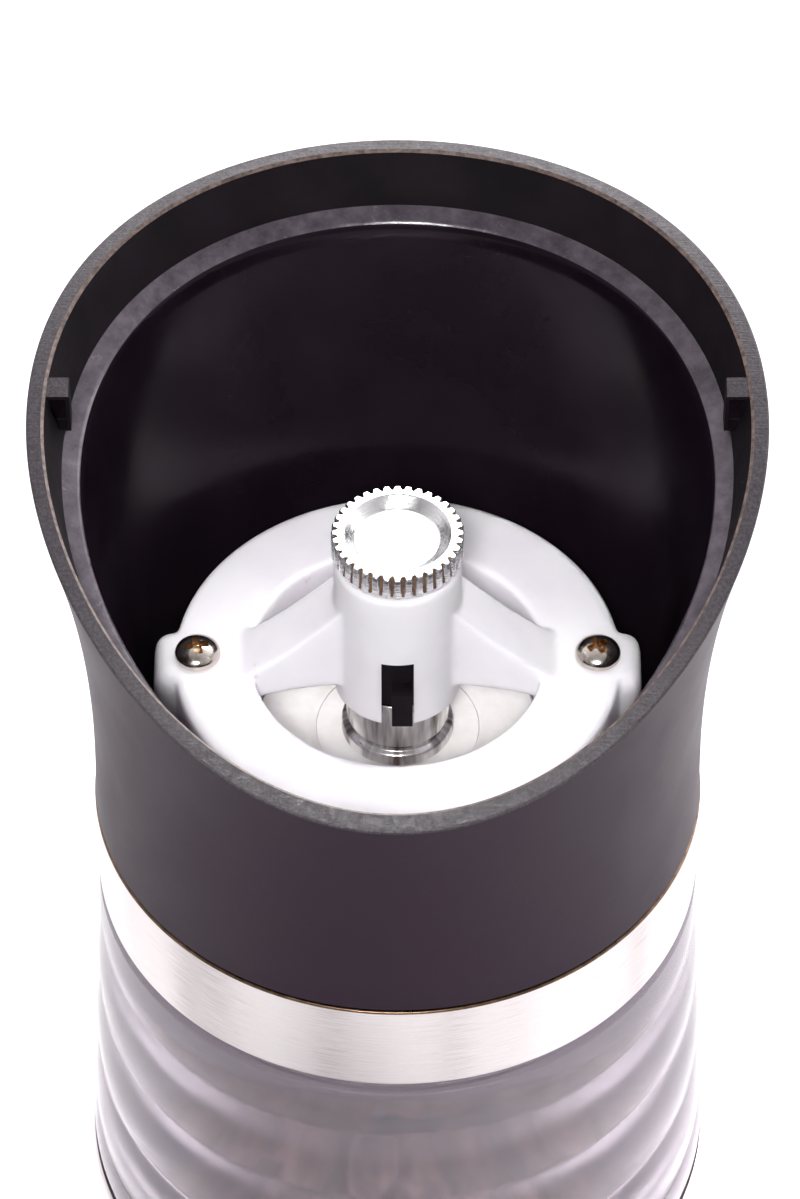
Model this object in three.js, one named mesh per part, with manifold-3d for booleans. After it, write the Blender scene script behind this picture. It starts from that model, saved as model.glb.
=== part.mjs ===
// Pepper mill that stands on its black base with the grinder end up.
// Millimetres, +Z up. The origin is the centre of the rubber foot's lower face.
// The base turns the square shaft, the chamber and skirt turn with the stator.

import * as THREE from 'three';
import * as BufferGeometryUtils from 'three/addons/utils/BufferGeometryUtils.js';
import Module from 'manifold-3d';

const wasm = await Module();
wasm.setup();

// Driving dimensions
const BODY_R = 29;                 // outer radius of the steel band and the clear chamber
const BASE_TOP = 38;               // height of the base's upper edge
const BAND_TOP = 90;               // height of the steel band's upper edge
const BAND_HEIGHT = 10.7;
const GAP = 0.3;                   // clearance between pieces that touch
const WIDE = 40;                   // facets round the large rings
const NARROW = 24;                 // facets round the small rings
const SLIM = 12;                   // facets round the screws and their holes

// Base
const BASE_FOOT_R = 34;
const BASE_LIP_R = 31.4;
const BASE_BAND_HEIGHT = 16;
const BASE_BAND_WALL = 0.7;
const BASE_INNER_R = 29.5;
const FOOT_R = 31;
const FOOT_HEIGHT = 1.6;
const PLATE_Z = 1.9;
const PLATE_HEIGHT = 3;
const PLATE_R = 31;
const RECESS_R = 31.3;
const DECK_Z = 16;
const DECK_HEIGHT = 2.4;
const DECK_HOLE_R = 10;
const BASE_SCREW_CIRCLE = 23;
const BASE_SCREW_COUNT = 3;
const SCREW_R = 1.2;
const SCREW_HOLE_R = 1.5;
const SCREW_HEAD_R = 2.7;
const SCREW_HEAD_HEIGHT = 1.3;
const SCREW_HEAD_Z = PLATE_Z + GAP;
const SCREW_HEAD_SEAT_R = 3;
const SCREW_HEAD_SEAT_TOP = PLATE_Z + 1.8;
const SCREW_TIP_Z = 12;
const SCREW_BOSS_R = 3.4;

// Turning collar in the base
const COLLAR_R = 29.2;
const COLLAR_BORE_R = 27.4;
const COLLAR_FLANGE_R = 31.2;
const COLLAR_FLANGE = 0.7;
const COLLAR_TOP = BASE_TOP + GAP + COLLAR_FLANGE;
const COLLAR_FLOOR_Z = DECK_Z + DECK_HEIGHT + GAP;
const COLLAR_FLOOR = 2;
const COLLAR_HUB_R = 9.7;
const COLLAR_HUB_BORE_R = 7;
const CLIP_GROOVE_Z = DECK_Z - 1.7;   // groove in the hub for the spring clip under the deck
const CLIP_GROOVE_HEIGHT = 1.4;
const CLIP_HEIGHT = 1;
const GROOVE_R = 28.3;
const GRIP_Z = 27;
const GRIP_HEIGHT = 2.4;

// Clear chamber
const CHAMBER_SHOULDER_Z = COLLAR_TOP + GAP;
const CHAMBER_WIDE_R = 31.2;        // the clear chamber widens towards the base
const CHAMBER_FOOT_Z = 21.2;
const CHAMBER_FOOT_R = 27;
const CHAMBER_BORE_R = 25.4;
const CHAMBER_NECK_R = 26;
const CHAMBER_NECK_BORE_R = 24.6;
const CHAMBER_NECK_TOP = 88.6;
const CHAMBER_TOP = 79;
const REBATE_R = 28.2;              // the gasket lies in a rebate in the chamber's upper edge
const REBATE_Z = 78.2;
const GASKET_R = 27.9;
const GASKET_Z = 78.45;
const GASKET_HEIGHT = 0.6;

// Skirt
const WAIST_R = 28.7;
const FLARE_START = BAND_TOP + 8;
const FLARE_HEIGHT = 42;
const FLARE_BEND = 4.7;
const FLARE_TIP = 2;
const RIM_SIDE_Z = BAND_TOP + 43.6; // the rim's height at the sides, where y is 0
const RIM_SLOPE = 0.383;
const RIM_SAG = 0.00648;
const RIM_TIP = 0.00002;
const SKIRT_FOOT_Z = BAND_TOP + 0.1;
const SKIRT_WALL = 1.6;
const SKIRT_FOOT_WALL = 1.1;
const LUG_FRONT_Y = 5.6;             // a lug stands on the wall's inside at each side
const LUG_BACK_Y = 7.4;
const LUG_INNER_X = 29.6;
const LUG_ROOT_FOOT_X = 30.9;       // the lug's outer side leans with the wall and ends inside it
const LUG_ROOT_TOP_X = 32.3;
const LUG_DROP = 0.3;
const LEDGE_DROP = 5.2;
const LEDGE_INSET = 3.2;
const LEDGE_SLOPE = 1.3;
const LINER_WALL = 1.6;
const POCKET_R = 23.5;
const POCKET_TOP = 98;
const FLOOR_Z = 90.8;
const FLOOR_TOP = 93.5;
const SPIGOT_BORE_R = 26.3;
const SPIGOT_R = 27.9;
const CUP_HOLE_R = 15.8;

// Grinding mechanism
const RING_R = 20.9;
const RING_BORE_R = 13.6;
const RING_Z = 97.4;
const RING_TOP = 107.1;
const EAR_REACH = 22.8;
const EAR_HALF_WIDTH = 4;
const ARM_HALF_WIDTH = 3;
const ARM_ROOT_X = RING_BORE_R + 0.6;
const ARM_BEND_X = 9;
const ARM_BEND_Z = 111.2;
const ARM_JOIN_Z = 116.3;           // the arms meet the hub at this height
const ARM_UNDER_Z = RING_TOP - 2.6;
const HUB_R = 5.9;
const HUB_BORE_R = 5.1;
const HUB_Z = 103.9;
const HUB_TOP = 120.2;
const HUB_ROOF = 3;
const STEM_HOLE_R = 2.6;
const SLOT_WIDTH = 3;
const SLOT_HEIGHT = 8.1;
const FRAME_SCREW_X = 18.7;
const FRAME_SCREW_HEAD_R = 2.15;
const FRAME_SCREW_HEAD_HEIGHT = 1.4;
const FRAME_SCREW_FOOT = 85;
const FRAME_BOSS_R = 2.7;
const CUP_R = 15.5;
const CUP_BORE_R = 13.5;
const CUP_Z = 77.4;
const CUP_LIP = 1.3;                // inward lip under the spring seat
const CUP_SHELF = 1.8;              // inward shelf under the stator
const STATOR_Z = 85.9;
const STATOR_TOP = 97.8;
const ROTOR_TOP = 97.2;
const ROTOR_TOP_R = 7.7;
const ROTOR_FOOT_R = 5;
const TOOTH = 0.5;
const BURR_CLEARANCE = 0.45;
const BURR_FACETS = 60;
const STATOR_TEETH = 15;
const ROTOR_TEETH = 12;
const COLLAR_BODY_R = 4.7;
const COLLAR_BODY_TOP = HUB_Z + 1.1;
const COLLAR_LIP_R = 5.3;
const SHAFT_END_R = 2;
const SHAFT_END_BORE_R = 2.3;
const JOURNAL_R = 3.3;
const JOURNAL_TOP = HUB_Z + 3;
const SEAT_Z = 78.6;
const SEAT_HEIGHT = 1;
const SEAT_BORE_R = 4;
const SEAT_WINDOW_COUNT = 3;
const SEAT_WINDOW_R = 3.5;
const SEAT_WINDOW_CIRCLE = 9.1;
const WASHER_BORE_R = 3.9;
const WASHER_R = 6;
const WASHER_HEIGHT = 0.5;
const SPRING_COIL_R = 4.9;
const SPRING_TURNS = 3.5;
const SPRING_WIRE_R = 0.45;
const SPRING_FOOT = SEAT_Z + SEAT_HEIGHT + 0.7;
const SPRING_HEAD = STATOR_Z - 1.8;   // the wire's middle at the top, clear of the washer at its lowest
const SHAFT_SIDE = 5;
const SHAFT_FOOT = 21;
const SHAFT_TOP = 103;
const SOCKET_R = 6.4;
const SOCKET_TOP = 30;
const SOCKET_FLANGE_R = 11;
const SOCKET_FLANGE = 2.5;
const SQUARE_HOLE = 5.6;            // the square holes that the shaft goes through
const SLEEVE_TOP = HUB_Z + 9.3;
const KEY_WIDTH = 1.9;
const KEY_X = 0.4;
const KEY_FRONT_Y = 6.6;            // how far the key stands out of the slot, towards -Y
const KEY_TIP_Y = 5.05;             // the key's lower end hangs clear of the spindle collar
const KEY_ROOT_Y = 4;
const KEY_FOOT = HUB_Z + 0.5;
const KEY_TOP = HUB_Z + 4.5;
const STEM_R = 1.9;
const STEM_NECK_R = 2.3;
const KNOB_CLIP_BORE_R = 2.4;
const KNOB_CLIP_R = 4;
const KNOB_CLIP_HEIGHT = 0.7;
const STEM_STEP = HUB_TOP - HUB_ROOF - 2.6;
const KNOB_R = 6.1;
const KNOB_Z = HUB_TOP + 0.1;
const KNOB_HEIGHT = 3.2;
const KNURL_COUNT = 36;
const KNURL_DEPTH = 0.35;

const FULL_TURN = 2 * Math.PI;
const pepperMill = new THREE.Group();

// Materials

const softBlack = new THREE.MeshStandardMaterial({ color: 0x1b191c, roughness: 0.75, metalness: 0 });
const glossBlack = new THREE.MeshStandardMaterial({ color: 0x0b090b, roughness: 0.25, metalness: 0 });
const whitePlastic = new THREE.MeshStandardMaterial({ color: 0xf2eff2, roughness: 0.4, metalness: 0 });
const ceramic = new THREE.MeshStandardMaterial({ color: 0xe9e5e3, roughness: 0.45, metalness: 0 });
const brushedSteel = new THREE.MeshStandardMaterial({ color: 0xd2cccb, roughness: 0.35, metalness: 1 });
const brightSteel = new THREE.MeshStandardMaterial({ color: 0xd8d4ce, roughness: 0.2, metalness: 1 });
const aluminium = new THREE.MeshStandardMaterial({ color: 0xe6e6e8, roughness: 0.25, metalness: 1 });
const clearPlastic = new THREE.MeshStandardMaterial({ color: 0xb9bccb, roughness: 0.08, metalness: 0 });
const rubber = new THREE.MeshStandardMaterial({ color: 0x121212, roughness: 0.9, metalness: 0 });

// Shape helpers

function addPart(name, geometry, material) {
  const mesh = new THREE.Mesh(geometry, material);
  mesh.name = name;
  pepperMill.add(mesh);
}

// A lathe about Z whose outline of [radius, height] points may change with the angle.
// The outline runs anticlockwise, inner side down and outer side up, and closes on itself
// unless it starts and ends on the axis.
function turned(outlineAt, facets) {
  const closed = (outline) => (outline[0][0] === 0 ? outline : [...outline, outline[0]]);
  const start = closed(outlineAt(0));
  const geometry = new THREE.LatheGeometry(start.map(([r, z]) => new THREE.Vector2(r, z)), facets);
  const position = geometry.attributes.position;
  for (let facet = 0; facet <= facets; facet += 1) {
    const angle = ((facet % facets) / facets) * FULL_TURN;
    closed(outlineAt(angle)).forEach(([r, z], corner) => {
      const x = r * Math.cos(angle);
      const y = r * Math.sin(angle);
      position.setXYZ(facet * start.length + corner, x, y, z);
    });
  }
  return geometry;
}

function lathe(outline, facets = NARROW) {
  return turned(() => outline, facets);
}

function ring(innerRadius, outerRadius, bottom, top, facets = NARROW) {
  const corners = [[innerRadius, bottom], [outerRadius, bottom], [outerRadius, top], [innerRadius, top]];
  return lathe(corners, facets);
}

function disc(radius, bottom, top, facets = NARROW) {
  return lathe([[0, bottom], [radius, bottom], [radius, top], [0, top]], facets);
}

function box(width, depth, bottom, top) {
  return new THREE.BoxGeometry(width, depth, top - bottom).translate(0, 0, (top + bottom) / 2);
}

function solid(geometry) {
  const bare = geometry.clone();
  bare.deleteAttribute('normal');
  bare.deleteAttribute('uv');
  const merged = BufferGeometryUtils.mergeVertices(bare);
  return new wasm.Manifold(new wasm.Mesh({
    numProp: 3,
    vertProperties: new Float32Array(merged.attributes.position.array),
    triVerts: new Uint32Array(merged.index.array),
  }));
}

function carve(base, additions, cuts) {
  let body = solid(base);
  additions.forEach((piece) => { body = body.add(solid(piece)); });
  cuts.forEach((piece) => { body = body.subtract(solid(piece)); });
  const mesh = body.getMesh();
  const geometry = new THREE.BufferGeometry();
  geometry.setAttribute('position', new THREE.BufferAttribute(mesh.vertProperties, 3));
  geometry.setIndex(new THREE.BufferAttribute(mesh.triVerts, 1));
  return geometry;
}

function aroundAxis(count, radius, geometryAt) {
  return Array.from({ length: count }, (_, index) => {
    const angle = (index / count) * FULL_TURN + FULL_TURN / 4;
    return geometryAt(index).translate(radius * Math.cos(angle), radius * Math.sin(angle), 0);
  });
}

function atBaseScrews(geometryAt) {
  return aroundAxis(BASE_SCREW_COUNT, BASE_SCREW_CIRCLE, geometryAt);
}

// The skirt's walls

function skirtRadius(height) {
  const rise = Math.max(0, (height - FLARE_START) / FLARE_HEIGHT);
  return WAIST_R + FLARE_BEND * rise ** 2 + FLARE_TIP * rise ** 3;
}

function rimHeight(y) {
  return RIM_SIDE_Z + RIM_SLOPE * y - RIM_SAG * y ** 2 + RIM_TIP * y ** 3;
}

// The point of a wall that lies inset from the skirt's outside and drop below the rim.
function wallPoint(angle, inset, drop) {
  let height = RIM_SIDE_Z;
  for (let pass = 0; pass < 40; pass += 1) {
    height = rimHeight((skirtRadius(height) - inset) * Math.sin(angle)) - drop;
  }
  return [skirtRadius(height) - inset, height];
}

function between(start, end, steps, radiusAt) {
  return Array.from({ length: steps - 1 }, (_, index) => {
    const share = (index + 1) / steps;
    const height = start[1] + share * (end[1] - start[1]);
    return [radiusAt(height, share), height];
  });
}

function skirtOutline(angle) {
  const rimOuter = wallPoint(angle, 0, 0);
  const rimInner = wallPoint(angle, SKIRT_WALL, 0);
  const besideLedge = wallPoint(angle, SKIRT_WALL, LEDGE_DROP);
  const footOuter = [WAIST_R + 0.2, SKIRT_FOOT_Z];
  const footInner = [WAIST_R - SKIRT_FOOT_WALL, SKIRT_FOOT_Z];
  const thickness = (share) => SKIRT_FOOT_WALL + (1 - share) * (SKIRT_WALL - SKIRT_FOOT_WALL);
  return [
    footOuter,
    ...between(footOuter, rimOuter, 6, skirtRadius),
    rimOuter,
    rimInner,
    besideLedge,
    ...between(besideLedge, footInner, 4, (height, share) => skirtRadius(height) - thickness(share)),
    footInner,
  ];
}

function lug(side) {
  const bottom = rimHeight(LUG_BACK_Y) - LEDGE_DROP + GAP;
  const top = rimHeight(LUG_FRONT_Y) - LUG_DROP;
  const outline = new THREE.Shape();
  outline.moveTo(side * LUG_INNER_X, bottom);
  outline.lineTo(side * LUG_ROOT_FOOT_X, bottom);
  outline.lineTo(side * LUG_ROOT_TOP_X, top);
  outline.lineTo(side * LUG_INNER_X, top);
  outline.closePath();
  const depth = LUG_BACK_Y - LUG_FRONT_Y;
  const block = new THREE.ExtrudeGeometry(outline, { depth, bevelEnabled: false });
  return block.rotateX(Math.PI / 2).translate(0, LUG_BACK_Y, 0);
}

function skirtShell() {
  return carve(turned(skirtOutline, WIDE), [lug(-1), lug(1)], []);
}

function linerOutline(angle) {
  const ledgeOuter = wallPoint(angle, SKIRT_WALL + GAP, LEDGE_DROP);
  const ledgeInner = wallPoint(angle, LEDGE_INSET, LEDGE_DROP + LEDGE_SLOPE);
  const ledgeUnder = wallPoint(angle, SKIRT_WALL + GAP, LEDGE_DROP + LINER_WALL);
  const pocketInner = [POCKET_R, POCKET_TOP];
  const pocketOuter = [POCKET_R + LINER_WALL, POCKET_TOP - LINER_WALL / 2];
  const neckR = WAIST_R - SKIRT_FOOT_WALL - GAP;
  const straight = (start, end) => (height, share) => start[0] + share * (end[0] - start[0]);
  const outerCone = straight(pocketOuter, ledgeUnder);
  const besideShell = (height, share) => Math.min(
    outerCone(height, share),
    skirtRadius(height) - SKIRT_WALL - GAP,
  );
  return [
    ledgeOuter,
    ledgeInner,
    ...between(ledgeInner, pocketInner, 3, straight(ledgeInner, pocketInner)),
    pocketInner,
    [POCKET_R, FLOOR_TOP],
    [CUP_HOLE_R, FLOOR_TOP],
    [CUP_HOLE_R, FLOOR_Z],
    [SPIGOT_BORE_R, FLOOR_Z],
    [SPIGOT_BORE_R, BAND_TOP - BAND_HEIGHT],
    [SPIGOT_R, BAND_TOP - BAND_HEIGHT],
    [SPIGOT_R, BAND_TOP - GAP],
    [neckR, BAND_TOP - GAP],
    [neckR, FLOOR_TOP - 1],
    [POCKET_R + LINER_WALL, FLOOR_TOP],
    pocketOuter,
    ...between(pocketOuter, ledgeUnder, 4, besideShell),
    ledgeUnder,
  ];
}

// Base: foot, plate, shell, socket and screws

function baseShell() {
  const bandZ = BASE_TOP - BASE_BAND_HEIGHT;
  const bandInnerR = BASE_LIP_R - BASE_BAND_WALL - GAP;
  const outline = [
    [RECESS_R, PLATE_Z - 1],
    [BASE_FOOT_R - 0.6, PLATE_Z - 1],
    [BASE_FOOT_R, PLATE_Z],
    [BASE_FOOT_R - 1, BASE_TOP / 3],
    [BASE_LIP_R, bandZ - GAP],
    [bandInnerR, bandZ - GAP],
    [bandInnerR, BASE_TOP - 0.2],
    [BASE_INNER_R, BASE_TOP - 0.2],
    [BASE_INNER_R, DECK_Z + DECK_HEIGHT],
    [DECK_HOLE_R, DECK_Z + DECK_HEIGHT],
    [DECK_HOLE_R, DECK_Z],
    [BASE_INNER_R, DECK_Z],
    [BASE_INNER_R, PLATE_Z + PLATE_HEIGHT + GAP],
    [RECESS_R, PLATE_Z + PLATE_HEIGHT + GAP],
  ];
  const bossBottom = PLATE_Z + PLATE_HEIGHT + GAP;
  const bosses = atBaseScrews(() => disc(SCREW_BOSS_R, bossBottom, DECK_Z + 1, SLIM));
  const holes = atBaseScrews(() => disc(SCREW_HOLE_R, 0, SCREW_TIP_Z + 1, SLIM));
  return carve(lathe(outline, WIDE), bosses, holes);
}

function baseBand() {
  return ring(BASE_LIP_R - BASE_BAND_WALL, BASE_LIP_R, BASE_TOP - BASE_BAND_HEIGHT, BASE_TOP, WIDE);
}

function basePlate() {
  const top = PLATE_Z + PLATE_HEIGHT;
  const hole = () => disc(SCREW_HOLE_R, 0, top + 1, SLIM);
  const seat = () => disc(SCREW_HEAD_SEAT_R, 0, SCREW_HEAD_SEAT_TOP, SLIM);
  const cuts = [hole(), seat(), ...atBaseScrews(hole), ...atBaseScrews(seat)];
  return carve(disc(PLATE_R, PLATE_Z, top, WIDE), [], cuts);
}

function panScrew() {
  const headTop = SCREW_HEAD_Z + SCREW_HEAD_HEIGHT;
  return lathe([
    [0, SCREW_HEAD_Z],
    [SCREW_HEAD_R - 0.3, SCREW_HEAD_Z],
    [SCREW_HEAD_R, SCREW_HEAD_Z + 0.4],
    [SCREW_HEAD_R, headTop],
    [SCREW_R, headTop],
    [SCREW_R, SCREW_TIP_Z - 0.8],
    [0.3, SCREW_TIP_Z],
    [0, SCREW_TIP_Z],
  ], SLIM);
}

function shaftSocket() {
  const bottom = PLATE_Z + PLATE_HEIGHT + GAP;
  const post = lathe([
    [0, bottom],
    [SOCKET_FLANGE_R, bottom],
    [SOCKET_FLANGE_R, bottom + SOCKET_FLANGE],
    [SOCKET_R, bottom + SOCKET_FLANGE + 1],
    [SOCKET_R, SOCKET_TOP - 0.6],
    [SOCKET_R - 0.6, SOCKET_TOP],
    [0, SOCKET_TOP],
  ]);
  const bore = box(SQUARE_HOLE, SQUARE_HOLE, SHAFT_FOOT - 2, SOCKET_TOP + 1);
  const screwHole = disc(SCREW_HOLE_R, 0, SCREW_TIP_Z + 1, SLIM);
  return carve(post, [], [bore, screwHole]);
}

// Collar that turns in the base, with its clip and rubber grip

function turnCollar() {
  return lathe([
    [COLLAR_HUB_BORE_R, DECK_Z - 3],
    [COLLAR_HUB_R, DECK_Z - 3],
    [COLLAR_HUB_R, CLIP_GROOVE_Z],
    [COLLAR_HUB_R - 1, CLIP_GROOVE_Z],
    [COLLAR_HUB_R - 1, CLIP_GROOVE_Z + CLIP_GROOVE_HEIGHT],
    [COLLAR_HUB_R, CLIP_GROOVE_Z + CLIP_GROOVE_HEIGHT],
    [COLLAR_HUB_R, COLLAR_FLOOR_Z],
    [COLLAR_R, COLLAR_FLOOR_Z],
    [COLLAR_R, COLLAR_TOP - COLLAR_FLANGE],
    [COLLAR_FLANGE_R, COLLAR_TOP - COLLAR_FLANGE],
    [COLLAR_FLANGE_R, COLLAR_TOP],
    [COLLAR_BORE_R, COLLAR_TOP],
    [COLLAR_BORE_R, GRIP_Z + GRIP_HEIGHT],
    [GROOVE_R, GRIP_Z + GRIP_HEIGHT],
    [GROOVE_R, GRIP_Z],
    [COLLAR_BORE_R, GRIP_Z],
    [COLLAR_BORE_R, COLLAR_FLOOR_Z + COLLAR_FLOOR],
    [COLLAR_HUB_BORE_R, COLLAR_FLOOR_Z + COLLAR_FLOOR],
  ], WIDE);
}

function collarClip() {
  const bottom = CLIP_GROOVE_Z + (CLIP_GROOVE_HEIGHT - CLIP_HEIGHT) / 2;
  const clip = ring(COLLAR_HUB_R - 0.8, COLLAR_HUB_R + 2, bottom, bottom + CLIP_HEIGHT);
  const mouth = box(3, 6, 0, DECK_Z).translate(0, -COLLAR_HUB_R, 0);
  return carve(clip, [], [mouth]);
}

function gripRing() {
  const outerR = GROOVE_R - 0.2;
  const middle = GRIP_Z + GRIP_HEIGHT / 2;
  const half = GRIP_HEIGHT / 2 - 0.3;
  return lathe([
    [CHAMBER_FOOT_R + 0.15, middle - 0.3],
    [CHAMBER_FOOT_R + 0.5, middle - half],
    [outerR, middle - half],
    [outerR, middle + half],
    [CHAMBER_FOOT_R + 0.5, middle + half],
    [CHAMBER_FOOT_R + 0.15, middle + 0.3],
  ], WIDE);
}

// Clear chamber

function chamberTube() {
  return lathe([
    [CHAMBER_BORE_R, CHAMBER_FOOT_Z],
    [CHAMBER_FOOT_R, CHAMBER_FOOT_Z],
    [CHAMBER_FOOT_R, CHAMBER_SHOULDER_Z],
    [CHAMBER_WIDE_R, CHAMBER_SHOULDER_Z],
    [BODY_R, CHAMBER_TOP],
    [REBATE_R, CHAMBER_TOP],
    [REBATE_R, REBATE_Z],
    [CHAMBER_NECK_R, REBATE_Z],
    [CHAMBER_NECK_R, CHAMBER_NECK_TOP],
    [CHAMBER_NECK_BORE_R, CHAMBER_NECK_TOP],
    [CHAMBER_NECK_BORE_R, REBATE_Z - 2],
    [CHAMBER_BORE_R, REBATE_Z - 3],
  ], WIDE);
}

function bandGasket() {
  return ring(CHAMBER_NECK_R + GAP, GASKET_R, GASKET_Z, GASKET_Z + GASKET_HEIGHT, WIDE);
}

function steelBand() {
  return ring(SPIGOT_R + GAP, BODY_R, BAND_TOP - BAND_HEIGHT, BAND_TOP - 0.2, WIDE);
}

// Skirt liner with the two bosses for the mechanism's screws

function skirtLiner() {
  const atScrews = (geometryAt) => [-1, 1].map((side) => geometryAt().translate(side * FRAME_SCREW_X, 0, 0));
  const bosses = atScrews(() => disc(FRAME_BOSS_R, FRAME_SCREW_FOOT - 1, FLOOR_TOP - 0.5, SLIM));
  const holes = atScrews(() => disc(SCREW_HOLE_R, FRAME_SCREW_FOOT - 0.5, RING_TOP, SLIM));
  return carve(turned(linerOutline, WIDE), bosses, holes);
}

// Mechanism frame: ring, ears, arms and slotted hub in one moulding

function armOutline(side) {
  const arm = new THREE.Shape();
  const top = RING_TOP - GAP;
  const insideHub = HUB_R - 0.4;
  arm.moveTo(side * ARM_ROOT_X, top);
  arm.lineTo(side * (RING_BORE_R - 0.6), top);
  arm.quadraticCurveTo(side * ARM_BEND_X, ARM_BEND_Z, side * insideHub, ARM_JOIN_Z);
  arm.lineTo(side * insideHub, RING_TOP - 0.8);
  arm.quadraticCurveTo(side * ARM_BEND_X, RING_TOP - 1, side * (RING_BORE_R - 1), ARM_UNDER_Z);
  arm.lineTo(side * ARM_ROOT_X, ARM_UNDER_Z);
  arm.closePath();
  return arm;
}

function frameArm(side) {
  const arm = new THREE.ExtrudeGeometry(armOutline(side), {
    depth: 2 * ARM_HALF_WIDTH,
    bevelEnabled: false,
    curveSegments: 5,
  });
  return arm.rotateX(Math.PI / 2).translate(0, ARM_HALF_WIDTH, 0);
}

function mechanismFrame() {
  const body = ring(RING_BORE_R, RING_R, RING_Z, RING_TOP, WIDE);
  const ears = box(2 * EAR_REACH, 2 * EAR_HALF_WIDTH, RING_Z, RING_TOP);
  const opening = disc(RING_BORE_R, RING_Z - 1, RING_TOP + 1, WIDE);
  const hub = disc(HUB_R, HUB_Z, HUB_TOP);
  const bore = disc(HUB_BORE_R, HUB_Z - 1, HUB_TOP - HUB_ROOF);
  const stemHole = disc(STEM_HOLE_R, HUB_TOP - HUB_ROOF - 1, HUB_TOP + 1, SLIM);
  const slot = box(SLOT_WIDTH, HUB_R, HUB_Z - 1, HUB_Z + SLOT_HEIGHT).translate(0, -HUB_R, 0);
  const screwHoles = [-1, 1].map((side) => disc(SCREW_HOLE_R, RING_Z - 1, RING_TOP + 1, SLIM)
    .translate(side * FRAME_SCREW_X, 0, 0));
  const outerRing = carve(body, [ears], [opening]);
  return carve(outerRing, [frameArm(-1), frameArm(1), hub], [bore, stemHole, slot, ...screwHoles]);
}

function burrCup() {
  const cup = lathe([
    [CUP_BORE_R - CUP_LIP, CUP_Z],
    [CUP_R, CUP_Z],
    [CUP_R, FLOOR_TOP + GAP],
    [RING_R - 0.3, FLOOR_TOP + GAP],
    [RING_R - 0.3, RING_Z - GAP],
    [CUP_BORE_R, RING_Z - GAP],
    [CUP_BORE_R, STATOR_Z - GAP],
    [CUP_BORE_R - CUP_SHELF, STATOR_Z - GAP],
    [CUP_BORE_R - CUP_SHELF, STATOR_Z - GAP - 1],
    [CUP_BORE_R, STATOR_Z - GAP - 1],
    [CUP_BORE_R, SEAT_Z - GAP],
    [CUP_BORE_R - CUP_LIP, SEAT_Z - GAP],
  ], WIDE);
  const screwHoles = [-1, 1].map((side) => disc(SCREW_HOLE_R, FLOOR_Z, RING_TOP, SLIM)
    .translate(side * FRAME_SCREW_X, 0, 0));
  return carve(cup, [], screwHoles);
}

function frameScrew(side) {
  const headTop = RING_TOP + GAP / 2 + FRAME_SCREW_HEAD_HEIGHT;
  return lathe([
    [0, FRAME_SCREW_FOOT],
    [0.3, FRAME_SCREW_FOOT],
    [SCREW_R, FRAME_SCREW_FOOT + 1],
    [SCREW_R, RING_TOP + GAP / 2],
    [FRAME_SCREW_HEAD_R, RING_TOP + GAP / 2],
    [FRAME_SCREW_HEAD_R * 0.94, RING_TOP + 0.8],
    [FRAME_SCREW_HEAD_R * 0.6, headTop - 0.25],
    [0, headTop],
  ], SLIM).translate(side * FRAME_SCREW_X, 0, 0);
}

// Burrs: the gap between them narrows towards the mouth

function rotorRadius(height) {
  const rise = (height - STATOR_Z) / (ROTOR_TOP - STATOR_Z);
  return ROTOR_FOOT_R + rise * (ROTOR_TOP_R - ROTOR_FOOT_R);
}

function toothWave(angle, height, count) {
  const twist = (height - STATOR_Z) * 0.03;
  return Math.cos(count * (angle + twist));
}

function statorOutline(angle) {
  const radiusAt = (height) => {
    const depth = TOOTH * (STATOR_TOP - height) / (STATOR_TOP - STATOR_Z);
    return rotorRadius(height) + BURR_CLEARANCE + depth * (2 + toothWave(angle, -height, STATOR_TEETH));
  };
  const top = [radiusAt(STATOR_TOP), STATOR_TOP];
  const foot = [radiusAt(STATOR_Z), STATOR_Z];
  return [
    foot,
    [CUP_BORE_R - GAP, STATOR_Z],
    [CUP_BORE_R - GAP, STATOR_TOP],
    top,
    ...between(top, foot, 3, radiusAt),
  ];
}

function rotorBurr() {
  const outlineAt = (angle) => {
    const radiusAt = (height) => {
      const depth = TOOTH * (ROTOR_TOP - height) / (ROTOR_TOP - STATOR_Z);
      return rotorRadius(height) - depth * (1 + toothWave(angle, height, ROTOR_TEETH));
    };
    const foot = [radiusAt(STATOR_Z), STATOR_Z];
    const top = [radiusAt(ROTOR_TOP), ROTOR_TOP];
    return [[0, STATOR_Z], foot, ...between(foot, top, 3, radiusAt), top, [0, ROTOR_TOP]];
  };
  const hole = box(SQUARE_HOLE, SQUARE_HOLE, STATOR_Z - 1, ROTOR_TOP + 1);
  return carve(turned(outlineAt, BURR_FACETS), [], [hole]);
}

// Square shaft with a round end that carries the collar

function driveShaft() {
  const square = box(SHAFT_SIDE, SHAFT_SIDE, SHAFT_FOOT, ROTOR_TOP);
  const end = disc(SHAFT_END_R, ROTOR_TOP - 1, SHAFT_TOP, SLIM);
  return carve(square, [end], []);
}

function spindleCollar() {
  const bottom = ROTOR_TOP + GAP;
  return lathe([
    [SHAFT_END_BORE_R, bottom],
    [COLLAR_LIP_R, bottom],
    [COLLAR_LIP_R, bottom + 1.4],
    [COLLAR_BODY_R, bottom + 1.8],
    [COLLAR_BODY_R, COLLAR_BODY_TOP],
    [JOURNAL_R, COLLAR_BODY_TOP],
    [JOURNAL_R, JOURNAL_TOP],
    [SHAFT_END_BORE_R, JOURNAL_TOP],
  ]);
}

function springSeat() {
  const window = () => disc(SEAT_WINDOW_R, SEAT_Z - 1, SEAT_Z + SEAT_HEIGHT + 1, SLIM);
  const windows = aroundAxis(SEAT_WINDOW_COUNT, SEAT_WINDOW_CIRCLE, window);
  return carve(ring(SEAT_BORE_R, CUP_BORE_R - GAP, SEAT_Z, SEAT_Z + SEAT_HEIGHT), [], windows);
}

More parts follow.
